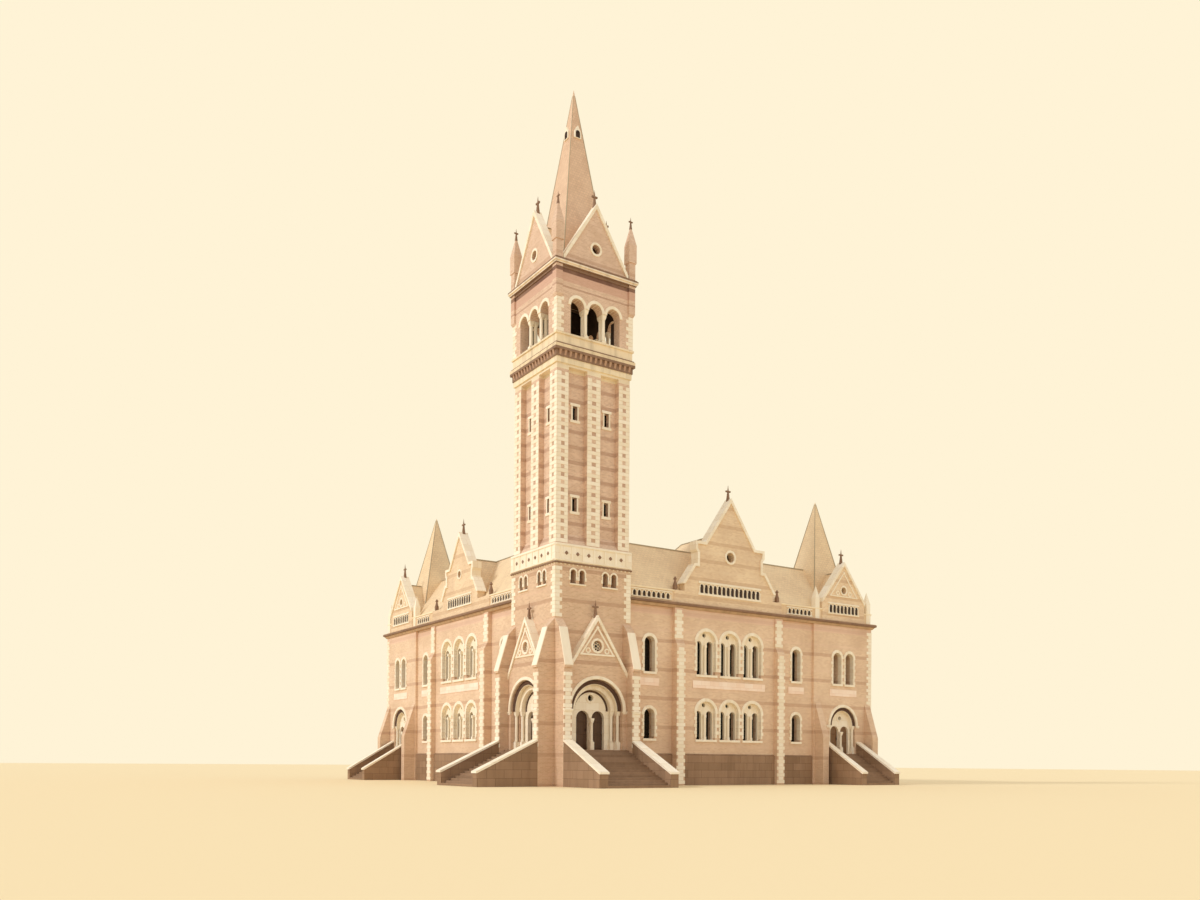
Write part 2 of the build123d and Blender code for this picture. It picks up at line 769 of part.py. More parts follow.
def tracery(middle, sill, spring):
    """A plate with two arched lights and an oculus, and a column between the lights."""
    plate = arch(middle, sill, spring, bay_arch_radius)
    light_spring = spring - light_spring_drop
    for sign in (-1, 1):
        plate -= arch(middle + sign * light_spacing / 2, sill, light_spring, light_width / 2)
    plate -= Pos(middle, spring + oculus_rise) * Circle(oculus_radius)
    face = street_face - tracery_setback
    solid = front(plate, face - tracery_thickness, face)
    half = mullion_block / 2
    v = face + half
    column = shaft(middle, v, mullion_radius, sill, light_spring)
    for z0 in (sill, light_spring - mullion_block):
        column += block(middle - half, middle + half, v - half, v + half, z0, z0 + mullion_block)
    keep_both("window_tracery", solid + column)


def build_pavilion():
    outline = rect(pavilion_start, pavilion_end, 0, cornice_bottom)
    for sign in (-1, 1):
        middle = pavilion_axis + sign * pavilion_window_spacing / 2
        outline -= arch(middle, upper_sill, upper_spring - single_spring_drop, single_radius)
        window_sill(middle, upper_sill, single_radius, street_face)
    half = pavilion_window_spacing / 2 + single_radius + apron_margin
    apron(pavilion_axis - half, pavilion_axis + half, street_face)
    outline -= doorway(pavilion_axis, pavilion_arch_radius, pavilion_spring)
    for z0, z1 in storeys_of_wall(pavilion_spring, cornice_bottom):
        keep_both("pavilion_walls", front(outline & rect(pavilion_start, pavilion_end, z0, z1), wall_inner,
                                          street_face))
    build_pavilion_portal()
    profile = polygon((street_face, 0), (street_face + pavilion_pier_projection, 0),
                      (street_face + pavilion_pier_projection, pavilion_pier_shoulder),
                      (street_face, pavilion_pier_top))
    for sign in (-1, 1):
        middle = pavilion_axis + sign * pavilion_pier_offset
        keep_both("street_buttresses", along(profile, middle - pavilion_pier_width / 2,
                                             middle + pavilion_pier_width / 2))


def build_pavilion_portal():
    """One arch order on nook columns, and a screen with two shut doors and a roundel."""
    screen_face = street_face - pavilion_screen_setback
    screen_back = screen_face - pavilion_screen_thickness
    hood = half_ring(pavilion_axis, pavilion_spring, pavilion_arch_radius, pavilion_arch_radius + hood_width)
    keep_both("portal_arches", front(hood, street_face, street_face + hood_projection))
    order = half_ring(pavilion_axis, pavilion_spring, pavilion_inner_radius, pavilion_arch_radius)
    keep_both("portal_arches", front(order, screen_face, street_face - pavilion_order_setback))
    screen = doorway(pavilion_axis, pavilion_arch_radius, pavilion_spring)
    leaf_axis = (mullion_width + pavilion_door_width) / 2
    leaf_spring = pavilion_door_head - pavilion_door_width / 2
    column_axis = (pavilion_inner_radius + pavilion_arch_radius) / 2
    column_v = screen_face + nook_block / 2
    for sign in (-1, 1):
        hole = doorway(pavilion_axis + sign * leaf_axis, pavilion_door_width / 2, leaf_spring)
        screen -= hole
        keep_both("pavilion_doors", front(hole, screen_back, screen_back + door_thickness))
        keep_both("portal_columns", nook_column(pavilion_axis + sign * column_axis, column_v, pavilion_spring))
    screen -= Pos(pavilion_axis, pavilion_roundel_level) * Circle(pavilion_roundel_radius)
    keep_both("portal_screens", front(screen, screen_back, screen_face))
    keep_both("portal_columns", nook_column(pavilion_axis, column_v, leaf_spring))


def half_space(turn, distance):
    """A huge block beyond a vertical plane, whose outward direction is turned from +X by turn degrees."""
    size = 8 * pavilion_end
    return Rot(0, 0, turn) * Pos(distance + size / 2, 0, 0) * Box(size, size, size)


def build_back_walls():
    """The unseen east wall, and its mirror image on the north, with plain arched windows in two storeys."""
    step = (back_inner + wall_inner) / back_window_count
    outline = rect(-wall_inner, pavilion_end, 0, cornice_bottom)
    places = [-wall_inner + step * (index + 0.5) for index in range(back_window_count)]
    for middle in places:
        for sill, spring in window_rows():
            outline -= arch(middle, sill, spring - single_spring_drop, single_radius)
    wall = turn_east(front(outline, back_inner, pavilion_end))
    keep_both("back_walls", wall - half_space(135, -joint_gap))
    for sill, spring in window_rows():
        for middle in places:
            half = single_radius + sill_margin
            stone = rect(middle - half, middle + half, sill - sill_height, sill)
            keep_both("window_sills", turn_east(front(stone, pavilion_end, pavilion_end + sill_projection)))
        first = places[0] - single_radius - sill_margin
        last = places[-1] + single_radius + sill_margin
        sheet = rect(first, last, sill - sill_margin, spring + sill_margin + single_radius)
        keep_both("back_glass", turn_east(front(sheet, back_inner - glass_thickness, back_inner)))


def turn_east(shape):
    """Turns a front drawn for the south so that it faces east, with u running north."""
    return Rot(0, 0, 90) * shape


def edge_runs(profile):
    """One profile in (v, z) run round the four outer edges, mitred, and stopped at the tower."""
    shift = pavilion_end - street_face
    run = along(profile, tower_base_half + joint_gap, 2 * pavilion_end)
    street_run = run - half_space(45, shift / 2 ** 0.5)
    back = turn_east(along(Pos(shift, 0) * profile, -pavilion_end, 2 * pavilion_end))
    back_run = back - half_space(-135, -shift / 2 ** 0.5 + joint_gap) - half_space(135, -joint_gap)
    return street_run, back_run


def build_cornice():
    out = cornice_projection
    profile = polygon((wall_inner, cornice_bottom), (street_face + 0.27 * out, cornice_bottom),
                      (street_face + 0.6 * out, cornice_bottom + 0.35 * cornice_height),
                      (cornice_face, cornice_bottom + 0.5 * cornice_height),
                      (cornice_face, cornice_bottom + 0.85 * cornice_height),
                      (cornice_face - 0.27 * out, cornice_top), (wall_inner, cornice_top))
    keep_both("street_cornice", *edge_runs(profile))


def build_parapets():
    nosing = parapet_face + parapet_nosing
    cap_foot = eaves_level - parapet_cap
    profile = polygon((parapet_back, cornice_top), (parapet_face, cornice_top), (parapet_face, cap_foot),
                      (nosing, cap_foot), (nosing, eaves_level), (parapet_back, eaves_level))
    street_run, back_run = edge_runs(profile)
    centre = block(centre_bay_start, centre_bay_end, 0, cornice_face, cornice_top - cut, roof_top)
    gable = block(pavilion_axis - pavilion_gable_half, pavilion_axis + pavilion_gable_half, 0, cornice_face,
                  cornice_top - cut, roof_top)
    keep_both("parapets", street_run - centre - gable - pinnacles(), back_run - pinnacles())


def pinnacles():
    """The two pinnacles beside a pavilion's gable."""
    return pinnacle(pavilion_axis - pinnacle_offset) + pinnacle(pavilion_axis + pinnacle_offset)


def pinnacle(u):
    half = pinnacle_width / 2
    v = street_face - half
    top = cornice_top + pinnacle_shaft
    body = block(u - half, u + half, v - half, v + half, cornice_top, top)
    return body + Pos(u, -v, 0) * pyramid(half, top, top + pinnacle_cap)


def centre_gable_outline(scale):
    """The gable over a centre bay: steep above its kneelers, with a neck and sloping shoulders below."""
    foot = gable_foot_level
    top = foot + scale * gable_rise
    kneeler = foot + scale * kneeler_rise
    kneeler_foot = kneeler - scale * kneeler_height
    shoulder = foot + scale * shoulder_rise
    neck = scale * gable_neck_half
    reach = scale * kneeler_reach
    foot_half = scale * gable_foot_half
    return mirrored_outline((0, top), ((top - kneeler) / gable_slope, kneeler), (reach, kneeler),
                            (reach, kneeler_foot), (neck, kneeler_foot - scale * kneeler_splay),
                            (neck, shoulder), (scale * shoulder_half, shoulder), (foot_half, foot),
                            (foot_half, eaves_level), (centre_bay_width / 2, eaves_level),
                            (centre_bay_width / 2, cornice_top))


def build_street_gables():
    middle_v = street_face - gable_thickness / 2
    at_bay = Pos(centre_axis, 0, 0)
    for place, scale in street_gable_scales():
        outline = centre_gable_outline(scale)
        hole = Pos(0, gable_foot_level + scale * gable_oculus_rise) * Circle(scale * gable_oculus_radius)
        keep("centre_gables", place(at_bay * front(outline - hole, gable_back, street_face)))
        coping = at_bay * gable_coping(outline, centre_bay_width, gable_foot_level, gable_back - coping_back,
                                       street_face + coping_overhang)
        keep("gable_copings", place(coping))
        apex = gable_foot_level + scale * gable_rise
        keep("finials", place(seated_finial(centre_axis, middle_v, apex, coping)))
    at_pavilion = Pos(pavilion_axis, 0, 0)
    outline = mirrored_outline((0, pavilion_gable_apex), (pavilion_gable_half, gable_foot_level),
                               (pavilion_gable_half, cornice_top))
    hole = Pos(0, gable_foot_level + pavilion_oculus_rise) * Circle(pavilion_oculus_radius)
    keep_both("pavilion_gables", at_pavilion * front(outline - hole, gable_back, street_face))
    coping = at_pavilion * gable_coping(outline, pavilion_gable_half, gable_foot_level,
                                        gable_back - coping_back, street_face + coping_overhang)
    keep_both("gable_copings", coping)
    keep_both("finials", seated_finial(pavilion_axis, middle_v, pavilion_gable_apex, coping))
    keep_both("pinnacles", pinnacles())


def street_gable_scales():
    return (south, 1.0), (west, west_gable_scale)


def main_roof_solid():
    """The whole mansard roof as one solid, for cutting what dies into it."""
    low = -roof_edge
    high = pavilion_end - (street_face - roof_edge)
    base = Plane.XY.offset(eaves_level) * rect(low, high, low, high)
    top = Plane.XY.offset(roof_top) * rect(low + roof_run, high - roof_run, low + roof_run, high - roof_run)
    return loft([base, top])


def build_roofs():
    slope = (roof_top - eaves_level) / roof_run
    rise = roof_thickness * (1 + slope ** 2) ** 0.5
    edge = roof_edge
    top_v = edge - roof_run
    profile = polygon((edge, eaves_level), (top_v, roof_top), (top_v, roof_top - rise),
                      (edge - rise / slope, eaves_level))
    street_run, back_run = edge_runs(profile)
    behind_gables = gable_back - coping_back
    gable = block(pavilion_axis - pavilion_gable_half, pavilion_axis + pavilion_gable_half, behind_gables,
                  cornice_face, 0, tower_top)
    frieze_half = tower_base_half + frieze_projection
    frieze = block(-frieze_half, frieze_half, -frieze_half, frieze_half, tower_base_height, frieze_top)
    for place, scale in street_gable_scales():
        half = scale * gable_foot_half + coping_thickness
        bay = block(centre_axis - half, centre_axis + half, behind_gables, cornice_face, 0, tower_top)
        keep("main_roof", place(street_run - bay - gable - pinnacles() - frieze), place(back_run - pinnacles()))
        build_cross_roof(place, scale)
    build_deck(top_v, rise)
    solid = main_roof_solid()
    raised = solid + Pos(0, 0, 2 * joint_gap) * solid
    tower_solid = pavilion_pyramid(0)
    keep_both("pavilion_roofs", tower_solid - pavilion_pyramid(pavilion_roof_skin) - raised)
    section_slope = pavilion_gable_rise / pavilion_gable_half
    half = (pavilion_ridge - gable_foot_level) / section_slope
    small = pitched_roof(half, gable_foot_level, pavilion_ridge, top_v - half)
    keep_both("cross_roofs", Pos(pavilion_axis, 0, 0) * small - solid - tower_solid)


def build_deck(top_v, rise):
    """The flat top of the roof in two plates that clear the tower."""
    inner_high = pavilion_end - street_face + top_v
    z0 = roof_top - rise
    keep("roof_deck", block(tower_base_half, inner_high, -inner_high, top_v, z0, roof_top))
    keep("roof_deck", block(-top_v, tower_base_half - joint_gap, -inner_high, -tower_base_half, z0, roof_top))


def pitched_roof(half, foot, ridge, end_v):
    """A hollow roof of two slopes behind a gable, with a hipped end at the back."""
    slope = (ridge - foot) / half
    front_v = gable_back - coping_back
    shells = []
    for rise in (0, roof_thickness * (1 + slope ** 2) ** 0.5):
        section = mirrored_outline((0, ridge - rise), (half - rise / slope, foot))
        side = polygon((front_v, foot), (front_v, ridge - rise), (end_v + half, ridge - rise),
                       (end_v + rise / slope, foot))
        shells.append(front(section, end_v, front_v) & along(side, -half, half))
    return shells[0] - shells[1]


def build_cross_roof(place, scale):
    """The pitched roof that runs back from a centre gable over the main roof."""
    end_v = gable_back - coping_back - scale * cross_roof_length
    cross = pitched_roof(scale * gable_foot_half, eaves_level, eaves_level + scale * cross_rise, end_v)
    keep("cross_roofs", place(Pos(centre_axis, 0, 0) * cross - main_roof_solid()))


def pavilion_pyramid(skin):
    """The steep roof of a pavilion as a solid, made smaller by a skin on every side."""
    centre_u = pavilion_end - street_face + roof_edge - roof_run
    centre_v = roof_edge - roof_run
    top = pavilion_roof_top - skin / pavilion_roof_slope
    half = (top - eaves_level) * pavilion_roof_slope
    return Pos(centre_u, -centre_v, 0) * pyramid(half, eaves_level, top)


def build_floors():
    for name, level in (("ground_floor", floor_level), ("upper_floor", upper_floor_level)):
        z0 = level - floor_thickness
        keep(name, block(tower_base_half, back_inner, -back_inner, wall_inner, z0, level))
        keep(name, block(-wall_inner, tower_base_half - joint_gap, -back_inner, -tower_base_half, z0, level))


def flight(axis, start, going, half):
    """One solid stone to each step, down from the door sill to the street."""
    for index in range(step_count):
        v = start + index * going
        top = floor_level - index * riser
        keep_both("street_steps", block(axis - half, axis + half, v, v + going - joint_gap, 0, top))


def cheeks(axis, start, going, half, width, face):
    """Sloping wing walls with stone copings on each side of a flight."""
    slope = riser / going
    end = start + step_count * going
    top_start = floor_level - (face - start) * slope + cheek_rise
    top_end = floor_level - (end - start) * slope + cheek_rise
    profile = polygon((face, 0), (end, 0), (end, top_end), (face, top_start))
    nose = end + cheek_nosing
    coping = polygon((face, top_start), (end, top_end), (nose, top_end), (nose, top_end + cheek_coping),
                     (face, top_start + cheek_coping))
    for sign in (-1, 1):
        middle = axis + sign * (half + width / 2 + joint_gap)
        keep_both("step_walls", along(profile, middle - width / 2, middle + width / 2))
        coping_half = width / 2 + cheek_overhang
        keep_both("step_copings", along(coping, middle - coping_half, middle + coping_half))


def build_steps():
    flight(0, porch_face, step_going, porch_half)
    cheeks(0, porch_face, step_going, porch_half, cheek_width, tower_base_half + buttress_projection)
    flight(pavilion_axis, street_face, pavilion_step_going, pavilion_step_half)
    cheeks(pavilion_axis, street_face, pavilion_step_going, pavilion_step_half, pavilion_cheek_width,
           street_face)


def build_plinths():
    spans = ((tower_base_half, centre_bay_start, link_face),
             (centre_bay_start + pier_width, centre_bay_end - pier_width, street_face),
             (centre_bay_end, pavilion_start, link_face))
    for start, end, face in spans:
        profile = polygon((face, 0), (face + plinth_projection, 0), (face + plinth_projection, plinth_height),
                          (face, plinth_height + plinth_chamfer))
        keep_both("plinths", along(profile, start, end))


build_tower_base()
build_porch()
build_portal()
build_tower_buttresses()
build_frieze()
build_shaft()
build_belfry()
build_tower_top()
build_tower_floors()
build_link_walls()
build_centre_bay()
build_pavilion()
build_glass()
build_back_walls()
build_cornice()
build_parapets()
build_street_gables()
build_roofs()
build_floors()
build_steps()
build_plinths()

os.makedirs("parts", exist_ok=True)
for name, solids in nodes.items():
    placed = Pos(-site_middle, -site_middle, 0) * Compound(solids)
    export_step(placed, "parts/" + name + ".step")
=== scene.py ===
import math

import bpy
from mathutils import Matrix, Vector


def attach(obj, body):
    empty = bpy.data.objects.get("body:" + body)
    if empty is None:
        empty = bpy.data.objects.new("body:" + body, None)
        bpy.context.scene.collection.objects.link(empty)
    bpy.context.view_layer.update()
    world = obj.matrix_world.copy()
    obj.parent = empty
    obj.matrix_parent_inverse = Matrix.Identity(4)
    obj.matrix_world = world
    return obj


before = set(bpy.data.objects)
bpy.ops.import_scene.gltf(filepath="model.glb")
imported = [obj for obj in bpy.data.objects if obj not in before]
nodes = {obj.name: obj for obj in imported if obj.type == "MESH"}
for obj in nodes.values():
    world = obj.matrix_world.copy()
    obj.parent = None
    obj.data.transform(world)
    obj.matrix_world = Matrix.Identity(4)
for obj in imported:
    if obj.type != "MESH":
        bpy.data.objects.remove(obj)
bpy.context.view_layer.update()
bpy.ops.object.select_all(action="DESELECT")

# the tower's axis stands this far south and this far west of the middle of the plan, in metres
towerOffset = 4.5825
swapStreets = Matrix(((0, 1, 0, 0), (1, 0, 0, 0), (0, 0, 1, 0), (0, 0, 0, 1)))
print("frame loaded:", len(nodes), "nodes")


# colours and shader nodes

def linear(hexColour):
    values = [int(hexColour[i:i + 2], 16) / 255 for i in (1, 3, 5)]
    return [v / 12.92 if v <= 0.04045 else ((v + 0.055) / 1.055) ** 2.4 for v in values] + [1.0]


def addNode(tree, kind, inputs=None, **settings):
    # inputs maps a socket to a number, a hex colour or the socket that feeds it
    node = tree.nodes.new(kind)
    for name, value in settings.items():
        if hasattr(node, name):
            setattr(node, name, value)
        else:
            node.inputs[name.replace("_", " ")].default_value = value
    for socket, value in (inputs or {}).items():
        if isinstance(value, bpy.types.NodeSocket):
            tree.links.new(value, node.inputs[socket])
        else:
            node.inputs[socket].default_value = linear(value) if isinstance(value, str) else value
    return node


def addMath(tree, operation, first, second=0.0):
    return addNode(tree, "ShaderNodeMath", {0: first, 1: second}, operation=operation).outputs[0]


def mixColour(tree, factor, first, second):
    return addNode(tree, "ShaderNodeMix", {0: factor, 6: first, 7: second}, data_type="RGBA").outputs[2]


def addNoise(tree, place, scale, detail, roughness=0.5):
    noise = addNode(tree, "ShaderNodeTexNoise", {"Vector": place}, Scale=scale, Detail=detail,
                    Roughness=roughness)
    return noise.outputs["Fac"]


def stretch(tree, place, scale):
    return addNode(tree, "ShaderNodeMapping", {"Vector": place, "Scale": scale}).outputs[0]


def mapRange(tree, source, low, high, toLow, toHigh):
    return addNode(tree, "ShaderNodeMapRange", {0: source, 1: low, 2: high, 3: toLow, 4: toHigh}).outputs[0]


def layCourses(tree, plane, tones, joint, length, course, smooth=0.1):
    # blocks in bond, in two tones and the tone of the joint
    sockets = {"Vector": plane, "Color1": tones[0], "Color2": tones[1], "Mortar": tones[2]}
    return addNode(tree, "ShaderNodeTexBrick", sockets, Scale=1.0, Mortar_Size=joint, Mortar_Smooth=smooth,
                   Brick_Width=length, Row_Height=course)


def newMaterial(name, roughness, metallic=0.0):
    material = bpy.data.materials.new(name)
    material.use_nodes = True
    shader = material.node_tree.nodes["Principled BSDF"]
    shader.inputs["Roughness"].default_value = roughness
    shader.inputs["Metallic"].default_value = metallic
    return material, material.node_tree, shader


def dressShader(tree, shader, colour, relief, strength, depth, sunk=False):
    # the colour, and relief up to depth in metres
    bump = addNode(tree, "ShaderNodeBump", {"Height": relief}, Strength=strength, Distance=depth,
                   invert=sunk)
    tree.links.new(colour, shader.inputs["Base Color"])
    tree.links.new(bump.outputs[0], shader.inputs["Normal"])


def wallPlane(tree, slopeStretch=1.0):
    # (along the wall, up the wall) on any upright face or roof slope, then the height and the place
    place = addNode(tree, "ShaderNodeTexCoord")
    split = addNode(tree, "ShaderNodeSeparateXYZ", {0: place.outputs["Object"]})
    facing = addNode(tree, "ShaderNodeVectorMath", {0: place.outputs["Normal"]}, operation="ABSOLUTE")
    sides = addNode(tree, "ShaderNodeSeparateXYZ", {0: facing.outputs[0]})
    eastWest = addMath(tree, "GREATER_THAN", sides.outputs[0], sides.outputs[1])
    run = addNode(tree, "ShaderNodeMix", {0: eastWest, 2: split.outputs[0], 3: split.outputs[1]})
    rise = addMath(tree, "MULTIPLY", split.outputs[2], slopeStretch)
    plane = addNode(tree, "ShaderNodeCombineXYZ", {0: run.outputs[0], 1: rise})
    return plane.outputs[0], split.outputs[2], place.outputs["Object"]


def insideTower(tree, place, reach):
    # 1 nearer to the tower's axis than reach on both sides: deep in the tower's openings, where shade is
    # painted
    split = addNode(tree, "ShaderNodeSeparateXYZ", {0: place})
    away = [addMath(tree, "ABSOLUTE", addMath(tree, "ADD", split.outputs[axis], towerOffset))
            for axis in (0, 1)]
    return addMath(tree, "LESS_THAN", addMath(tree, "MAXIMUM", away[0], away[1]), reach)


def layBands(tree, height, colour, bands):
    # a band is (tint, pitch, share, offset, strength), and tints the lowest share of every pitch, in metres
    for tint, pitch, share, offset, strength in bands:
        folded = addMath(tree, "FLOORED_MODULO", addMath(tree, "ADD", height, offset), pitch)
        band = addMath(tree, "LESS_THAN", folded, pitch * share)
        colour = mixColour(tree, addMath(tree, "MULTIPLY", band, strength), colour, tint)
    return colour


def oneBand(tint, low, high, strength=1.0):
    # a single band between two heights, as one band of a very long pitch
    return (tint, 1000.0, (high - low) / 1000.0, -low, strength)


# materials, each named for what it is and how it was made

def firedBrick(name, values):
    # stock brick laid in lime mortar: matt, each brick a little different, with courses of darker brick
    material, tree, shader = newMaterial(name, 0.88)
    plane, height, place = wallPlane(tree)
    tones = (values["brick"], values["brickTwo"], values["mortar"])
    bricks = layCourses(tree, plane, tones, values["joint"], values["length"], values["course"], 0.2)
    sootAndShade = addNoise(tree, place, 0.9, 6.0, 0.6)
    colour = layBands(tree, height, bricks.outputs["Color"], values["bands"])
    patches = mapRange(tree, sootAndShade, 0.42, 0.75, 0.0, values["patches"])
    colour = mixColour(tree, patches, colour, values["weathered"])
    # the wall turns darker towards its foot, from the upper height of the zone down to the lower
    footDarkening = mapRange(tree, height, *values["footDarkeningZone"], values["footDarkening"], 0.0)
    colour = mixColour(tree, footDarkening, colour, values["weathered"])
    # painted shade: brick deep inside the tower's openings takes a dark tone
    if values["shadeWithin"]:
        colour = mixColour(tree, insideTower(tree, place, values["shadeWithin"]), colour, values["sootAndShade"])
    dressShader(tree, shader, colour, bricks.outputs["Fac"], 0.5, 0.004, True)
    return material


def sawnStone(name, values):
    # sawn freestone: matt and fine in grain, each stone of its own tone, with rain streaks down it
    material, tree, shader = newMaterial(name, values["roughness"])
    plane, height, place = wallPlane(tree)
    streaks = addNoise(tree, stretch(tree, place, (3.0, 3.0, 0.5)), 1.6, 5.0)
    grain = addNoise(tree, place, 120.0, 3.0)
    if values["block"]:
        length, course, joint = values["block"]
        tones = (values["stone"], values["stoneTwo"], values["stained"])
        colour = layCourses(tree, plane, tones, joint, length, course, 0.2).outputs["Color"]
    else:
        single = addNode(tree, "ShaderNodeNewGeometry")
        colour = mixColour(tree, single.outputs["Random Per Island"], values["stone"], values["stoneTwo"])
    colour = layBands(tree, height, colour, values["bands"])
    soak = mapRange(tree, streaks, 0.45, 0.8, 0.0, values["staining"])
    colour = mixColour(tree, soak, colour, values["stained"])
    dressShader(tree, shader, colour, grain, 0.35, 0.003)
    return material


def rivenSlate(name, values):
    # riven slates nailed in courses: thin shadow at each tail, tones from slate to slate, a slight sheen
    material, tree, shader = newMaterial(name, 0.62)
    plane, _, place = wallPlane(tree, values["slopeStretch"])
    slates = layCourses(tree, plane, (values["slate"], values["slateTwo"], values["gap"]), values["joint"],
                        values["width"], values["gauge"])
    colour = mixColour(tree, addNoise(tree, place, 1.3, 6.0), slates.outputs["Color"], values["bleached"])
    dressShader(tree, shader, colour, slates.outputs["Fac"], 0.6, 0.006, True)
    return material


def oiledBoards(name, values):
    # upright oak boards, oiled: grain along each board and a dark open joint between them
    material, tree, shader = newMaterial(name, 0.55)
    plane, _, place = wallPlane(tree)
    upright = addNode(tree, "ShaderNodeMapping", {"Vector": plane, "Rotation": (0, 0, math.radians(90))})
    tones = (values["oak"], values["oakTwo"], values["joint"])
    boards = layCourses(tree, upright.outputs[0], tones, 0.003, 3.0, values["board"])
    grain = addNoise(tree, stretch(tree, place, (60.0, 60.0, 3.0)), 1.0, 4.0)
    colour = mixColour(tree, grain, boards.outputs["Color"], values["oakDark"])
    dressShader(tree, shader, colour, boards.outputs["Fac"], 0.5, 0.003, True)
    return material


def forgedIron(name, values):
    # hand-forged iron under black paint: dark, with a low sheen and small hammer marks
    material, tree, shader = newMaterial(name, 0.5, 0.6)
    marks = addNoise(tree, addNode(tree, "ShaderNodeTexCoord").outputs["Object"], 90.0, 2.0)
    dressShader(tree, shader, mixColour(tree, marks, values["iron"], values["rust"]), marks, 0.3, 0.002)
    return material


def crownGlass(name, values):
    # old crown glass with a dark room behind it: nearly black, with a low gloss and a slow ripple
    material, tree, shader = newMaterial(name, 0.2)
    shader.inputs["Specular IOR Level"].default_value = 0.12
    ripple = addNoise(tree, addNode(tree, "ShaderNodeTexCoord").outputs["Object"], 5.0, 2.0)
    dressShader(tree, shader, mixColour(tree, ripple, values["deep"], values["light"]), ripple, 0.15, 0.01)
    return material


def rolledLead(name, values):
    # sheet lead, dulled and mottled by the weather, with small dents from the dressing mallet
    material, tree, shader = newMaterial(name, 0.6, 0.2)
    place = addNode(tree, "ShaderNodeTexCoord").outputs["Object"]
    dents = addNoise(tree, place, 9.0, 2.0)
    patina = addNoise(tree, place, 2.0, 5.0)
    dressShader(tree, shader, mixColour(tree, patina, values["lead"], values["leadDull"]), dents, 0.3, 0.01)
    return material


brickValues = {"brick": "#efd0b1", "brickTwo": "#dfbc9c", "mortar": "#f3e2c9", "weathered": "#c3a082",
               "length": 0.120, "course": 0.04125, "joint": 0.004, "patches": 0.45, "footDarkening": 0.35,
               "footDarkeningZone": (0.8, 3.4), "shadeWithin": 0.0, "sootAndShade": "#3d2c22",
               "bands": (("#bf9478", 0.99, 0.125, 0.05, 0.5), ("#f1d2ba", 0.99, 0.085, -0.33, 0.35),
                         oneBand("#ecc9b4", 5.84, 6.12, 0.6))}
towerBrickValues = dict(brickValues, brick="#e2c0a1", brickTwo="#cfab8c", mortar="#e9d5ba",
                        bands=(("#b0866b", 0.99, 0.125, 0.05, 0.5), ("#e8c5ac", 0.99, 0.085, -0.33, 0.35)))
# on the shaft and the belfry, brick nearer the tower's axis than this reach takes painted shade
shaftBrickValues = dict(brickValues, brick="#eac9b0", brickTwo="#d3b097", shadeWithin=1.055,
                        bands=(("#b08770", 0.495, 0.25, 0.0, 0.55), oneBand("#f6e8cc", 13.33, 13.6)))
# on the belfry, the darkest band, just under the tower's cornice, is painted shadow
belfryBrickValues = dict(brickValues, brick="#e4c2ab", brickTwo="#d1ad94", shadeWithin=1.135,
                         bands=(oneBand("#714d40", 16.37, 16.5, 0.95), oneBand("#cf9f8c", 16.1, 16.38, 0.6),
                                oneBand("#b0846e", 15.9, 15.96, 0.6), oneBand("#c09a7e", 16.9, 17.0, 0.5)))
gableBrickValues = dict(brickValues, brick="#f3d8b4", brickTwo="#e4c5a0",
                        bands=(("#c29c78", 0.66, 0.19, 0.1, 0.4), ("#f3dcbc", 0.66, 0.12, 0.4, 0.4)))
# nearly black brick for rings in the portals, painted as the shadow deep between their orders
portalShadowBrickValues = dict(brickValues, brick="#5f4232", brickTwo="#4f3628", mortar="#6d5140",
                         weathered="#4a3327", bands=())

# a block is (length, course, joint) in metres, and without one each stone has a tone of its own
freestoneValues = {"stone": "#fcf2df", "stoneTwo": "#f4e6cd", "stained": "#d8bf9c", "staining": 0.25,
                   "roughness": 0.85, "bands": (), "block": None}
ashlarValues = dict(freestoneValues, block=(0.5, 0.2475, 0.003))
corbelStoneValues = dict(freestoneValues, bands=(oneBand("#b8937a", 13.6, 14.0),))
pinkStoneValues = dict(freestoneValues, stone="#ffecdb", stoneTwo="#fadfc9", stained="#dfb89c",
                       block=(0.4, 0.5, 0.003))
parapetStoneValues = dict(freestoneValues, stone="#edd3b0", stoneTwo="#dfc19b", stained="#b39473",
                          bands=(oneBand("#f9e8c8", 6.69, 7.0),), block=(0.6, 50.0, 0.003))
darkStoneValues = {"stone": "#94745d", "stoneTwo": "#846650", "stained": "#5e4638", "staining": 0.4,
                   "roughness": 0.8, "bands": (), "block": (0.7, 50.0, 0.003)}
# on the belfry cornice the dark stone between 13.68 and 13.96 is painted shadow under the cornice and among
# its corbels; the thin dark line at 14.07 to 14.13 is weathering
belfryCourseValues = dict(darkStoneValues, bands=(oneBand("#f5e3c2", 13.4, 13.68),
                                                  oneBand("#ecd6b2", 13.96, 14.07),
                                                  oneBand("#f4e0bf", 14.13, 14.6)))
corniceValues = dict(darkStoneValues, bands=(oneBand("#c4a482", 6.1, 6.195),
                                             oneBand("#c4a482", 6.287, 6.34)))
towerCourseValues = dict(darkStoneValues, bands=(oneBand("#f6e6cf", 16.6, 16.695),))
plinthStoneValues = dict(darkStoneValues, stone="#a28266", stoneTwo="#907256", stained="#6c503b",
                         block=(0.6, 0.2625, 0.005))
shadeStoneValues = dict(darkStoneValues, stone="#40302a", stoneTwo="#352820", stained="#251b16")

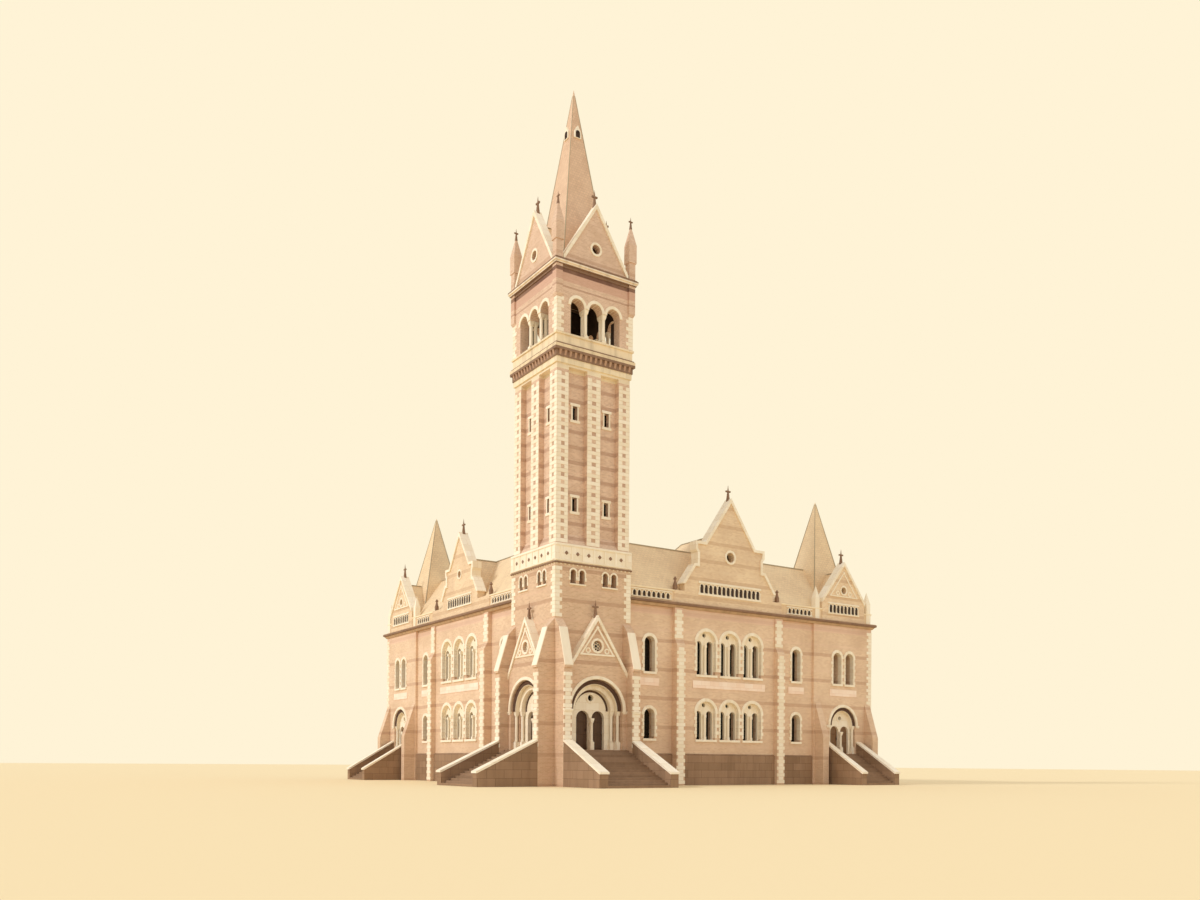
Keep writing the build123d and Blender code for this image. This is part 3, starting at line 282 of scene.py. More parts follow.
slateValues = {"slate": "#eccda6", "slateTwo": "#dab993", "gap": "#96795d", "bleached": "#f6dfb8",
               "joint": 0.004, "width": 0.150, "gauge": 0.115, "slopeStretch": 1.28}
spireSlateValues = dict(slateValues, slate="#e2bd9e", slateTwo="#c9a284", bleached="#ecccae",
                        width=0.10, gauge=0.09, slopeStretch=1.01)
oakValues = {"oak": "#6b4a30", "oakTwo": "#5a3d28", "joint": "#1f150e", "oakDark": "#3d2818", "board": 0.09}
fadedOakValues = dict(oakValues, oak="#9c7650", oakTwo="#8a6745", joint="#3c2a1b", oakDark="#6a4b31")
floorValues = dict(oakValues, oak="#8a6b49", oakTwo="#7a5d3f", joint="#2b2016", oakDark="#5b442e",
                   board=0.07)

brickwork = firedBrick("stockBrickwork", brickValues)
towerBrickwork = firedBrick("towerBrickwork", towerBrickValues)
shaftBrickwork = firedBrick("shaftBrickwork", shaftBrickValues)
belfryBrickwork = firedBrick("belfryBrickwork", belfryBrickValues)
gableBrickwork = firedBrick("gableBrickwork", gableBrickValues)
portalShadowBrick = firedBrick("portalShadowBrick", portalShadowBrickValues)
freestone = sawnStone("sawnFreestone", freestoneValues)
ashlar = sawnStone("ashlarFreestone", ashlarValues)
corbelStone = sawnStone("corbelFreestone", corbelStoneValues)
pinkStone = sawnStone("pinkSandstone", pinkStoneValues)
parapetStone = sawnStone("parapetStone", parapetStoneValues)
darkStone = sawnStone("tooledBluestone", darkStoneValues)
belfryCourse = sawnStone("belfryCourseStone", belfryCourseValues)
corniceStone = sawnStone("streetCorniceStone", corniceValues)
towerCourse = sawnStone("towerCourseStone", towerCourseValues)
plinthStone = sawnStone("plinthBluestone", plinthStoneValues)
stepStone = sawnStone("wornStepStone", dict(plinthStoneValues, block=None))
shadeStone = sawnStone("shadedStone", shadeStoneValues)
roofSlate = rivenSlate("rivenSlate", slateValues)
spireSlate = rivenSlate("spireSlate", spireSlateValues)
oakBoards = oiledBoards("oiledOakBoards", oakValues)
fadedOak = oiledBoards("bleachedOakBoards", fadedOakValues)
floorBoards = oiledBoards("pineFloorBoards", floorValues)
blackIron = forgedIron("forgedIron", {"iron": "#1c1a18", "rust": "#3a2418"})
darkGlass = crownGlass("crownGlass", {"deep": "#15120f", "light": "#2e2822"})
leadRoof = rolledLead("rolledLead", {"lead": "#beae93", "leadDull": "#a29278"})

finishes = {
    brickwork: "link_walls centre_bay_walls pavilion_walls back_walls street_buttresses",
    towerBrickwork: "tower_base_walls porch_fronts tower_buttresses",
    shaftBrickwork: "tower_shaft",
    belfryBrickwork: "belfry_walls belfry_piers corner_turrets tower_gables",
    gableBrickwork: "centre_gables pavilion_gables",
    freestone: "portal_arches portal_columns belfry_columns window_tracery window_sills pinnacles "
               "spire_lucarnes",
    ashlar: "portal_screens tower_frieze gable_copings porch_copings tower_gable_copings step_copings",
    parapetStone: "parapets",
    belfryCourse: "belfry_cornice",
    towerCourse: "tower_cornice",
    pinkStone: "apron_bands",
    corniceStone: "street_cornice",
    darkStone: "finials",
    plinthStone: "plinths step_walls",
    stepStone: "street_steps",
    roofSlate: "main_roof cross_roofs pavilion_roofs tower_roof",
    spireSlate: "spire",
    leadRoof: "roof_deck",
    floorBoards: "ground_floor upper_floor tower_floors",
    fadedOak: "pavilion_doors",
    oakBoards: "south_left_door south_right_door west_left_door west_right_door",
    blackIron: "door_hinges",
    darkGlass: "window_glass back_glass",
}
for material, names in finishes.items():
    for name in names.split():
        nodes[name].data.materials.clear()
        nodes[name].data.materials.append(material)
print("materials laid on", sum(len(names.split()) for names in finishes.values()), "nodes")


# places, all from the tower's axis: u along the street, v out from it, z up

def moveTo(x=0.0, y=0.0, z=0.0):
    return Matrix.Translation((x, y, z))


def turn(degrees, axis):
    return Matrix.Rotation(math.radians(degrees), 4, axis)


def southPlace(u, v, z=0.0):
    return moveTo(u - towerOffset, -v - towerOffset, z)


def bothStreets(u, v, z=0.0):
    south = southPlace(u, v, z)
    return [south, swapStreets @ south]


def alongStreets(axes, v, z=0.0):
    return [place for u in axes for place in bothStreets(u, v, z)]


def towerSides(u, v, z=0.0):
    axis = moveTo(-towerOffset, -towerOffset)
    return [axis @ turn(-90 * side, "Z") @ moveTo(u, -v, z) for side in range(4)]


def sideBySide(count, pitch):
    # a row of places centred on the origin
    return [moveTo((index - (count - 1) / 2) * pitch) for index in range(count)]


# modelling

here = [Matrix.Identity(4)]
mirrored = [Matrix.Identity(4), swapStreets]

# a finish is a material and its slot
dressed = (freestone, "dressed_stone")
shaded = (shadeStone, "dark_stone")
blueStone = (darkStone, "dark_stone")
oakwork = (oakBoards, "door_timber")
ironwork = (blackIron, "hinge_iron")
leadwork = (leadRoof, "flat_roof")


def newMesh(addPrimitive, **settings):
    # a primitive with its place, turn and size applied
    bpy.ops.object.select_all(action="DESELECT")
    addPrimitive(**settings)
    bpy.ops.object.transform_apply(location=True, rotation=True, scale=True)
    return bpy.context.object


def addBlock(size, centre=(0, 0, 0), bevel=0.0):
    block = newMesh(bpy.ops.mesh.primitive_cube_add, size=1, location=centre, scale=size)
    if bevel:
        bpy.ops.object.mode_set(mode="EDIT")
        bpy.ops.mesh.select_all(action="SELECT")
        bpy.ops.mesh.bevel(offset=bevel, segments=1)
        bpy.ops.object.mode_set(mode="OBJECT")
    return block


def pickFaces(piece, test):
    # leaves the piece in edit mode with the faces that pass the test selected
    bpy.ops.object.select_all(action="DESELECT")
    bpy.context.view_layer.objects.active = piece
    piece.select_set(True)
    bpy.ops.object.mode_set(mode="EDIT")
    bpy.ops.mesh.select_mode(type="FACE")
    bpy.ops.mesh.select_all(action="DESELECT")
    bpy.ops.object.mode_set(mode="OBJECT")
    for face in piece.data.polygons:
        face.select = test(face)
    bpy.ops.object.mode_set(mode="EDIT")


def joinPieces(pieces):
    bpy.ops.object.select_all(action="DESELECT")
    for piece in pieces:
        piece.select_set(True)
    bpy.context.view_layer.objects.active = pieces[0]
    if len(pieces) > 1:
        bpy.ops.object.join()
    return bpy.context.object


def repeatPiece(master, places):
    # copies with their own meshes, joined into one, in place of the master
    made = []
    for place in places:
        piece = master.copy()
        piece.data = master.data.copy()
        piece.data.transform(place)
        if place.determinant() < 0:
            piece.data.flip_normals()
        bpy.context.collection.objects.link(piece)
        made.append(piece)
    bpy.data.objects.remove(master)
    return joinPieces(made)


def finishPiece(name, finish, sets, body="building"):
    # one piece from sets of a master and its places
    piece = joinPieces([repeatPiece(master, places) for master, places in sets])
    material, slot = finish
    piece.name = name
    piece.data.name = name
    piece.data.materials.clear()
    piece.data.materials.append(material)
    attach(piece, body)
    print("made", name, len(piece.data.polygons), "faces")


def wedgeStone(radius, ring, depth, count, arc):
    # one voussoir at the top of its arch, narrower towards the centre
    outer = 2 * (radius + ring) * math.tan(math.radians(arc / count / 2))
    inner = 2 * radius * math.tan(math.radians(arc / count / 2))
    stone = addBlock((outer, depth, ring), (0, 0, radius + ring / 2))
    pickFaces(stone, lambda face: face.normal.z < -0.9)
    bpy.ops.transform.resize(value=(inner / outer, 1, 1))
    bpy.ops.mesh.select_all(action="SELECT")
    bpy.ops.mesh.bevel(offset=0.004, segments=1)
    bpy.ops.object.mode_set(mode="OBJECT")
    return stone


def stoneArch(radius, ring, depth, count, arc=180.0):
    stone = wedgeStone(radius, ring, depth, count, arc)
    step = arc / count
    return repeatPiece(stone, [turn(-arc / 2 + step * (index + 0.5), "Y") for index in range(count)])


def archFrom(values):
    return stoneArch(values["radius"], values["ring"], values["depth"], values["stones"])


def darkNiche(wide, foot, spring, depths, bevel):
    # a shaded panel with a round head of wedges that meet at its centre
    panel = addBlock((wide, depths[0], spring - foot), (0, 0, (spring + foot) / 2), bevel)
    head = repeatPiece(stoneArch(0.0005, wide / 2, depths[1], 6), [moveTo(z=spring)])
    return joinPieces([panel, head])


# the faces, axes and levels that the pieces share
streetFace = 1.325
linkFace = 1.225
towerFace = 1.45
belfryFace = 1.46
porchFace = 1.7
screenFace = 1.3
parapetFace = 1.3
backFace = 13.2
centreAxis = 5.875
pavilionAxis = 11.625
linkAxes = (2.4125, 9.2125)
bayAxes = [centreAxis + step * 1.075 for step in (-1, 0, 1)]
pavilionWindows = (pavilionAxis - 0.3325, pavilionAxis + 0.3325)
buttressAxes = (-1.305, 1.305)
portalSpring = 2.45
sideSpring = 2.275

# stone surrounds of the windows; they line the reveal too, so "inset" is how far their middle lies in
quoin = {"course": 0.12375, "joint": 0.006, "proud": 0.012, "set": 0.03, "long": 0.26, "short": 0.17,
         "jambShare": 1.6, "bevel": 0.004}
stoneHigh = quoin["course"] - quoin["joint"]
storeys = ({"sill": 1.6, "spring": 2.525}, {"sill": 3.875, "spring": 4.985})
bayArch = {"radius": 0.416, "ring": 0.114, "depth": 0.16, "stones": 13, "jamb": 0.074, "inset": 0.05}
singleArch = {"radius": 0.216, "ring": 0.109, "depth": 0.2, "stones": 9, "jamb": 0.0705, "inset": 0.07,
              "lower": 0.12}
backWindows = {"first": -0.925, "span": 13.725, "count": 5}


def windowSurround(values, sill, spring):
    # an arch of stones on long and short jamb stones
    pieces = [repeatPiece(archFrom(values), [moveTo(z=spring)])]
    course = quoin["course"]
    for index in range(int((spring - sill) / course)):
        width = values["jamb"] * (quoin["jambShare"] if index % 2 else 1.0)
        centre = (values["radius"] + width / 2, 0, spring - index * course - course / 2)
        stone = addBlock((width, values["depth"], stoneHigh), centre, quoin["bevel"])
        pieces.append(repeatPiece(stone, here + [Matrix.Scale(-1, 4, (1, 0, 0))]))
    return joinPieces(pieces)


def singleSurround(storey):
    return windowSurround(singleArch, storey["sill"], storey["spring"] - singleArch["lower"])


def singlePlaces(storey, linkPlane, pavilionPlane):
    # the pavilions have single windows on the upper storey alone, over their portals
    places = alongStreets(linkAxes, linkPlane)
    if storey is storeys[1]:
        places += alongStreets(pavilionWindows, pavilionPlane)
    return places


def backPlaces(plane):
    # the windows of one back wall, then those of the other
    pitch = backWindows["span"] / backWindows["count"]
    axes = [backWindows["first"] + pitch * (index + 0.5) for index in range(backWindows["count"])]
    places = [moveTo(plane - towerOffset, u - towerOffset) @ turn(90, "Z") for u in axes]
    return places + [swapStreets @ place for place in places]


surrounds = []
inset = singleArch["inset"]
for storey in storeys:
    surrounds.append((windowSurround(bayArch, storey["sill"], storey["spring"]),
                      alongStreets(bayAxes, streetFace - bayArch["inset"])))
    surrounds.append((singleSurround(storey), singlePlaces(storey, linkFace - inset, streetFace - inset)))
finishPiece("windowSurrounds", dressed, surrounds)
finishPiece("backWindowSurrounds", dressed,
            [(singleSurround(storey), backPlaces(backFace - inset)) for storey in storeys])

belfryArch = {"radius": 0.25, "ring": 0.10, "depth": 0.05, "stones": 9, "spring": 15.391,
              "axes": (-0.69, 0, 0.69)}
belfryPlaces = [place for u in belfryArch["axes"]
                for place in towerSides(u, belfryFace, belfryArch["spring"])]
finishPiece("belfryArchStones", dressed, [(archFrom(belfryArch), belfryPlaces)])

lancet = {"radius": 0.1, "ring": 0.055, "depth": 0.05, "stones": 7, "jamb": 0.045, "sill": 6.5,
          "spring": 6.85, "axes": (-0.78, -0.45, 0.45, 0.78), "pairs": (-0.615, 0.615),
          "sillSize": (0.62, 0.09, 0.05)}
lancetHead = windowSurround(lancet, lancet["sill"], lancet["spring"])
lancetSill = addBlock(lancet["sillSize"], (0, 0, lancet["sill"] - lancet["sillSize"][2] / 2), 0.006)
finishPiece("lancetSurrounds", dressed, [(lancetHead, alongStreets(lancet["axes"], towerFace)),
                                         (lancetSill, alongStreets(lancet["pairs"], towerFace))])

# rings round the roundels: (inner radius, width, places)
roundels = ((0.17, 0.07, bothStreets(0.0, porchFace, 4.53)),
            (0.105, 0.07, bothStreets(0.0, screenFace, 2.87)),
            (0.175, 0.08, [southPlace(centreAxis, streetFace, 8.13)]),
            (0.13, 0.06, [swapStreets @ southPlace(centreAxis, streetFace, 7.836)]),
            (0.13, 0.06, bothStreets(pavilionAxis, streetFace, 7.52)),
            (0.08, 0.055, bothStreets(pavilionAxis, 1.145, 2.56)),
            (0.15, 0.07, towerSides(0.0, belfryFace, 17.417)))
finishPiece("roundelRings", dressed, [(stoneArch(radius, ring, 0.05, 12, 360.0), places)
                                      for radius, ring, places in roundels])

# rings between the portals' white orders and on them: (axis, spring, radius, width, count, face); the brick
# rings are nearly black, as painted shadow between the orders
portalRings = {"depth": 0.03,
               "brick": ((0.0, 2.452, 0.855, 0.13, 21, 1.62), (0.0, 2.452, 0.602, 0.068, 25, screenFace),
                         (pavilionAxis, 2.277, 0.575, 0.115, 17, 1.296)),
               "stone": ((0.0, portalSpring, 1.006, 0.098, 25, 1.735),
                         (0.0, portalSpring, 0.696, 0.138, 19, 1.45),
                         (pavilionAxis, sideSpring, 0.706, 0.098, 19, 1.36))}
for kind, name, finish in (("brick", "portalShadowRings", (portalShadowBrick, "brick")),
                           ("stone", "portalVoussoirs", dressed)):
    finishPiece(name, finish,
                [(stoneArch(radius, ring, portalRings["depth"], count), bothStreets(u, face, spring))
                 for u, spring, radius, ring, count, face in portalRings[kind]])

# moulded stones under the arches and on the buttresses; a course is (how much narrower, depth, level)
imposts = {"jamb": 0.175, "buttress": 0.33, "courses": ((0.0, 0.09, -0.025), (0.02, 0.06, -0.072)),
           "high": 0.05, "bevel": 0.008, "portalAxis": 1.085, "portalFace": 1.705, "sideAxis": 0.8,
           "sideFace": 1.33, "buttressFace": 2.06}


def impostStone(wide):
    return joinPieces([addBlock((wide - less, depth, imposts["high"]), (0, 0, level), imposts["bevel"])
                       for less, depth, level in imposts["courses"]])


jambPlaces = []
for side in (-1, 1):
    jambPlaces += bothStreets(side * imposts["portalAxis"], imposts["portalFace"], portalSpring)
    jambPlaces += bothStreets(pavilionAxis + side * imposts["sideAxis"], imposts["sideFace"], sideSpring)
buttressPlaces = alongStreets(buttressAxes, imposts["buttressFace"], portalSpring)
finishPiece("impostStones", dressed, [(impostStone(imposts["jamb"]), jambPlaces),
                                      (impostStone(imposts["buttress"]), buttressPlaces)])
print("arches done")

# rings and leaves on the columns: each column is (u, v, top of its capital)
nooks = {"foot": 1.435, "radius": 0.05, "half": 0.07,
         "columns": ((-0.92, 1.52, portalSpring), (0.92, 1.52, portalSpring), (-0.765, 1.37, portalSpring),
                     (0.765, 1.37, portalSpring), (0.0, 1.37, 2.205),
                     (pavilionAxis - 0.63, 1.215, sideSpring), (pavilionAxis + 0.63, 1.215, sideSpring),
                     (pavilionAxis, 1.215, 2.03))}
belfryPairs = {"foot": 14.54, "radius": 0.06, "half": 0.08,
               "columns": [(u, v, 15.39) for u in (-0.345, 0.345) for v in (1.38, 1.21)]}
carving = {"rings": ((0.014, 0.01), (0.04, 0.002)), "neck": (0.135, 0.004), "ring": 0.013,
           "leaf": (0.03, 0.03, 0.036), "leafDrop": 0.06, "leafInset": 0.018}


def columnCarving(top, values):
    # two rings at the foot, one at the neck, and a leaf under each corner of the abacus
    parts = []
    levels = [(values["foot"] + rise, reach) for rise, reach in carving["rings"]]
    levels.append((top - carving["neck"][0], carving["neck"][1]))
    for level, reach in levels:
        parts.append(newMesh(bpy.ops.mesh.primitive_torus_add, major_radius=values["radius"] + reach,
                             major_segments=14, minor_radius=carving["ring"], minor_segments=5,
                             location=(0, 0, level)))
    reach = values["half"] - carving["leafInset"]
    for side in (-1, 1):
        for front in (-1, 1):
            centre = (side * reach, front * reach, top - carving["leafDrop"])
            parts.append(addBlock(carving["leaf"], centre, 0.007))
    return joinPieces(parts)


carvings = []
for values, placing in ((nooks, bothStreets), (belfryPairs, towerSides)):
    carvings += [(columnCarving(top, values), placing(u, v)) for u, v, top in values["columns"]]
finishPiece("columnCarvings", dressed, carvings)

# a leaded rose with six foils in each porch gable
rose = {"level": 4.53, "foil": 0.034, "ring": 0.018, "depth": 0.04, "foils": 6, "out": 0.1, "foilFace": 1.6,
        "pane": 0.166, "paneDepth": 0.014, "paneFace": 1.57}
roseFoil = stoneArch(rose["foil"], rose["ring"], rose["depth"], 8, 360.0)
roseFoils = repeatPiece(roseFoil, [turn(360 / rose["foils"] * index, "Y") @ moveTo(z=rose["out"])
                                   for index in range(rose["foils"])])
finishPiece("roseFoils", dressed, [(roseFoils, bothStreets(0.0, rose["foilFace"], rose["level"]))])
rosePane = newMesh(bpy.ops.mesh.primitive_cylinder_add, vertices=24, radius=rose["pane"],
                   depth=rose["paneDepth"], rotation=(math.radians(90), 0, 0))
finishPiece("rosePanes", (darkGlass, "window_glass"),
            [(rosePane, bothStreets(0.0, rose["paneFace"], rose["level"]))])

# a louvred opening in each gablet of the spire
lucarne = {"wide": 0.16, "foot": 21.665, "spring": 21.82, "face": 0.2905, "depths": (0.012, 0.011),
           "blade": (0.15, 0.022, 0.008), "blades": 4, "firstBlade": 0.03, "pitch": 0.04, "tilt": 35,
           "proud": 0.006}
opening = darkNiche(lucarne["wide"], lucarne["foot"], lucarne["spring"], lucarne["depths"], 0.002)
finishPiece("lucarneNiches", shaded, [(opening, towerSides(0, lucarne["face"]))])
firstBlade = lucarne["foot"] + lucarne["firstBlade"]
blades = repeatPiece(addBlock(lucarne["blade"], bevel=0.002),
                     [moveTo(z=firstBlade + lucarne["pitch"] * index) @ turn(lucarne["tilt"], "X")
                      for index in range(lucarne["blades"])])
finishPiece("lucarneLouvres", oakwork, [(blades, towerSides(0, lucarne["face"] + lucarne["proud"]))])
print("carved details done")


# long and short stones at the corners and on the piers

def courseMiddles(low, high):
    # the number and middle of each whole course between two levels
    course = quoin["course"]
    return [(index, low + (index + 0.5) * course) for index in range(int((high - low) / course))]


def cornerQuoins(low, high):
    # a south-east corner at the origin, long and short stones by turns
    stones = []
    proud, deep = quoin["proud"], quoin["set"]
    for index, middle in courseMiddles(low, high):
        southRun, eastRun = (quoin["long"], quoin["short"]) if index % 2 else (quoin["short"], quoin["long"])
        stones.append(addBlock((southRun + proud, deep + proud, stoneHigh),
                               ((proud - southRun) / 2, (deep - proud) / 2, middle), quoin["bevel"]))
        stones.append(addBlock((deep + proud, eastRun - deep, stoneHigh),
                               ((proud - deep) / 2, (eastRun + deep) / 2, middle), quoin["bevel"]))
    return joinPieces(stones)


def pierQuoins(low, high, full, narrow, split=False):
    # a flat pier at the origin: full stones and, between them, a narrow one or two edge ones
    stones = []
    proud, deep = quoin["proud"], quoin["set"]
    edge = (full - narrow) / 2
    between = [(-(full - edge) / 2, edge), ((full - edge) / 2, edge)] if split else [(0.0, narrow)]
    for index, middle in courseMiddles(low, high):
        for centre, wide in between if index % 2 else [(0.0, full)]:
            stones.append(addBlock((wide, deep + proud, stoneHigh), (centre, (deep - proud) / 2, middle),
                                   quoin["bevel"]))
    return joinPieces(stones)


# on the shaft each pier is (u, width, gap): at a corner one side's stones run past those of the next
shaftPiers = {"low": 7.79, "high": 13.34, "face": 1.4,
              "piers": ((1.191, 0.442, 0.13), (-1.17, 0.4, 0.13), (0.0, 0.5, 0.16))}
shaftStacks = [(pierQuoins(shaftPiers["low"], shaftPiers["high"], wide, gap, True),
                towerSides(u, shaftPiers["face"])) for u, wide, gap in shaftPiers["piers"]]
finishPiece("shaftQuoins", dressed, shaftStacks)

cornerLevels = {"towerBase": (5.4, 7.13), "belfry": (14.47, 15.6), "site": (0.05, 6.1)}
southEast = southPlace(backFace, streetFace)
northEast = southPlace(backFace, -backFace) @ turn(90, "Z")
finishPiece("cornerQuoins", dressed,
            [(cornerQuoins(*cornerLevels["towerBase"]), towerSides(towerFace, towerFace)),
             (cornerQuoins(*cornerLevels["belfry"]), towerSides(belfryFace, belfryFace)),
             (cornerQuoins(*cornerLevels["site"]), [southEast, swapStreets @ southEast, northEast])])

# the street's piers are (foot, head, width, narrow width, axes, face)
streetPiers = ((0.05, 4.78, 0.362, 0.23, (3.55, 8.2), 1.525), (5.07, 6.1, 0.362, 0.23, (3.55, 8.2), 1.385),
               (1.25, 3.72, 0.302, 0.19, buttressAxes, 2.05))
finishPiece("pierQuoins", dressed, [(pierQuoins(*stack), alongStreets(axes, face))
                                    for *stack, axes, face in streetPiers])

slit = {"wide": 0.175, "high": 0.45, "frame": 0.06, "axes": (-0.61, 0.61), "face": 1.21,
        "levels": (9.10125, 12.051), "capHigh": 0.09, "capExtra": 0.204}
outer = slit["wide"] / 2 + slit["frame"] / 2
slitStones = [addBlock((slit["frame"], 0.04, slit["high"]), (side * outer, 0, 0), 0.005) for side in (-1, 1)]
slitStones += [addBlock((slit["wide"] + slit["capExtra"], 0.06, slit["capHigh"]),
                        (0, 0, side * (slit["high"] + slit["capHigh"]) / 2), 0.006) for side in (-1, 1)]
slitPlaces = [place for u in slit["axes"] for level in slit["levels"]
              for place in towerSides(u, slit["face"], level)]
finishPiece("slitSurrounds", dressed, [(joinPieces(slitStones), slitPlaces)])
print("quoins done")


# arcades of dwarf columns
tallArcade = {"pitch": 0.2, "wide": 0.13, "high": 0.24, "column": 0.022, "depth": 0.05, "ring": 0.03,
              "cap": (0.064, 0.05, 0.03), "courseDepth": 0.07, "overrun": 0.12}
lowArcade = dict(tallArcade, high=0.14, wide=0.1, depth=0.035)


def dwarfArcade(name, values, count, foot, course, places):
    # shaded niches with arched heads, between little columns, under and over a stone course
    spring = foot + values["high"]
    row = sideBySide(count, values["pitch"])
    niche = darkNiche(values["wide"], foot, spring, (0.02, 0.018), 0.003)
    finishPiece(name + "Niches", shaded, [(repeatPiece(niche, row), places)])
    arch = stoneArch(values["wide"] / 2, values["ring"], values["depth"], 5)
    rings = repeatPiece(arch, [moveTo(z=spring) @ place for place in row])
    front = -values["depth"] / 3
    half = values["cap"][2] / 2
    column = [newMesh(bpy.ops.mesh.primitive_cylinder_add, vertices=8, radius=values["column"],
                      depth=values["high"], location=(0, front, foot + values["high"] / 2))]
    column += [addBlock(values["cap"], (0, front, level), 0.005) for level in (spring - half, foot + half)]
    columns = repeatPiece(joinPieces(column), sideBySide(count + 1, values["pitch"]))
    size = (count * values["pitch"] + values["overrun"], values["courseDepth"], course)
    head = spring + values["wide"] / 2 + values["ring"] + course / 2
    courses = [addBlock(size, (0, 0, level), 0.008) for level in (foot - course / 2, head)]
    finishPiece(name + "Stones", dressed, [(joinPieces([rings, columns] + courses), places)])


southGable = southPlace(centreAxis, streetFace)
dwarfArcade("southArcade", tallArcade, 14, 6.74, 0.08, [southGable])
dwarfArcade("westArcade", tallArcade, 10, 6.66, 0.06, [swapStreets @ southGable])
dwarfArcade("pavilionArcade", tallArcade, 8, 6.62, 0.06, bothStreets(pavilionAxis, streetFace))
dwarfArcade("parapetArcade", lowArcade, 6, 6.4, 0.04, bothStreets(9.3, parapetFace))
dwarfArcade("linkArcade", lowArcade, 8, 6.4, 0.04, bothStreets(2.42, parapetFace))

# tables of corbels under the tower's cornices: (size, count, pitch, face, level)
corbelTables = (((0.085, 0.1, 0.2), 15, 0.19, 1.474, 13.78), ((0.06, 0.09, 0.13), 19, 0.155, 1.435, 7.08))


def taperedCorbel(size):
    # a block drawn in towards its foot, with its back kept on the wall
    block = addBlock(size)
    pickFaces(block, lambda face: face.normal.z < -0.9)
    bpy.ops.transform.resize(value=(0.8, 0.35, 1), center_override=(0, size[1] / 2, -size[2] / 2))
    bpy.ops.object.mode_set(mode="OBJECT")
    return block


finishPiece("corbelTables", (corbelStone, "dressed_stone"),
            [(repeatPiece(taperedCorbel(size), sideBySide(count, pitch)), towerSides(0, face, level))
             for size, count, pitch, face, level in corbelTables])

# panels with a dark stud in each, round the tower under the shaft
frieze = {"face": 1.48, "middle": 7.45, "panels": 6, "pitch": 0.42, "strip": (0.06, 0.05, 0.42),
          "edges": (((2.9, 0.06, 0.07), (0, 0, 0.25)), ((2.9, 0.07, 0.06), (0, 0, -0.24))),
          "stud": (0.1, 0.03, 0.1), "studFace": 1.485, "underline": ((2.96, 0.05, 0.05), (0, 0.01, -0.315))}
strip = addBlock(frieze["strip"], bevel=0.006)
panelling = [repeatPiece(strip, sideBySide(frieze["panels"] + 1, frieze["pitch"]))]
panelling += [addBlock(size, centre, 0.01) for size, centre in frieze["edges"]]
finishPiece("friezePanelling", dressed,
            [(joinPieces(panelling), towerSides(0, frieze["face"], frieze["middle"]))])
stud = addBlock(frieze["stud"], bevel=0.01)
studs = repeatPiece(stud, [place @ turn(45, "Y") for place in sideBySide(frieze["panels"], frieze["pitch"])])
underline = addBlock(*frieze["underline"], 0.01)
finishPiece("friezeStuds", blueStone,
            [(joinPieces([studs, underline]), towerSides(0, frieze["studFace"], frieze["middle"]))])

# tracery in the porch and pavilion gables: (half foot, foot, top, width), then a small ring each side
porchTracery = {"bars": (0.62, 4.24, 5.12, 0.06), "rings": (-0.36, 0.36), "ringLevel": 4.37}
pavilionTracery = {"bars": (0.72, 7.28, 8.2, 0.05), "rings": (-0.33, 0.33), "ringLevel": 7.4}
traceryDepth = 0.05


def slopingBars(halfFoot, foot, top, wide):
    # two bars that lean together over a level one, with a boss where they meet
    rise = top - foot
    lean = math.degrees(math.atan2(halfFoot, rise))
    bar = addBlock((wide, traceryDepth, math.hypot(halfFoot, rise)), bevel=0.006)
    pair = repeatPiece(bar, [moveTo(side * halfFoot / 2, 0, foot + rise / 2) @ turn(-side * lean, "Y")
                             for side in (-1, 1)])
    level = addBlock((2 * halfFoot + 1.6 * wide, traceryDepth + 0.012, wide), (0, 0, foot), 0.006)
    boss = addBlock((1.5 * wide, traceryDepth + 0.02, 1.5 * wide), bevel=0.008)
    return joinPieces([pair, level, repeatPiece(boss, [moveTo(z=top) @ turn(45, "Y")])])


ringPlaces = alongStreets(porchTracery["rings"], porchFace, porchTracery["ringLevel"])
ringPlaces += alongStreets([pavilionAxis + u for u in pavilionTracery["rings"]], streetFace,
                           pavilionTracery["ringLevel"])
finishPiece("gableTracery", dressed,
            [(slopingBars(*porchTracery["bars"]), bothStreets(0, porchFace)),
             (slopingBars(*pavilionTracery["bars"]), bothStreets(pavilionAxis, streetFace)),
             (stoneArch(0.05, 0.045, traceryDepth, 10, 360.0), ringPlaces)])

# the sloping stones that shed rain from the tower's buttresses, from (v, z) at the foot to the head
slab = {"foot": (2.105, 3.81), "head": (1.725, 5.05), "wide": 0.31, "thick": 0.035}
(footV, footZ), (headV, headZ) = slab["foot"], slab["head"]
weathering = addBlock((slab["wide"], slab["thick"], math.hypot(footV - headV, headZ - footZ)), bevel=0.008)
weathering.data.transform(Matrix.Rotation(-math.atan2(footV - headV, headZ - footZ), 4, "X"))
finishPiece("buttressWeatherings", dressed,
            [(weathering, alongStreets(buttressAxes, (footV + headV) / 2, (footZ + headZ) / 2))])

# knobs on the parapet, each side of the great gables; each step of the head is (rise, spread, level)
knob = {"level": 6.86, "block": (0.13, 0.13, 0.16), "axes": (3.5, 8.25), "face": 1.2, "foot": 0.075,
        "neck": 0.03, "high": 0.16, "head": ((0.04, 2.2, 0.28), (0.08, 0.3, 0.36))}
knobFoot = addBlock(knob["block"], bevel=0.012)
knobTop = newMesh(bpy.ops.mesh.primitive_cone_add, vertices=8, radius1=knob["foot"], radius2=knob["neck"],
                  depth=knob["high"], location=(0, 0, knob["high"]))
pickFaces(knobTop, lambda face: face.normal.z > 0.9)
for rise, spread, level in knob["head"]:
    bpy.ops.mesh.extrude_region_move(TRANSFORM_OT_translate={"value": (0, 0, rise)})
    bpy.ops.transform.resize(value=(spread, spread, 1), center_override=(0, 0, level))
bpy.ops.object.mode_set(mode="OBJECT")
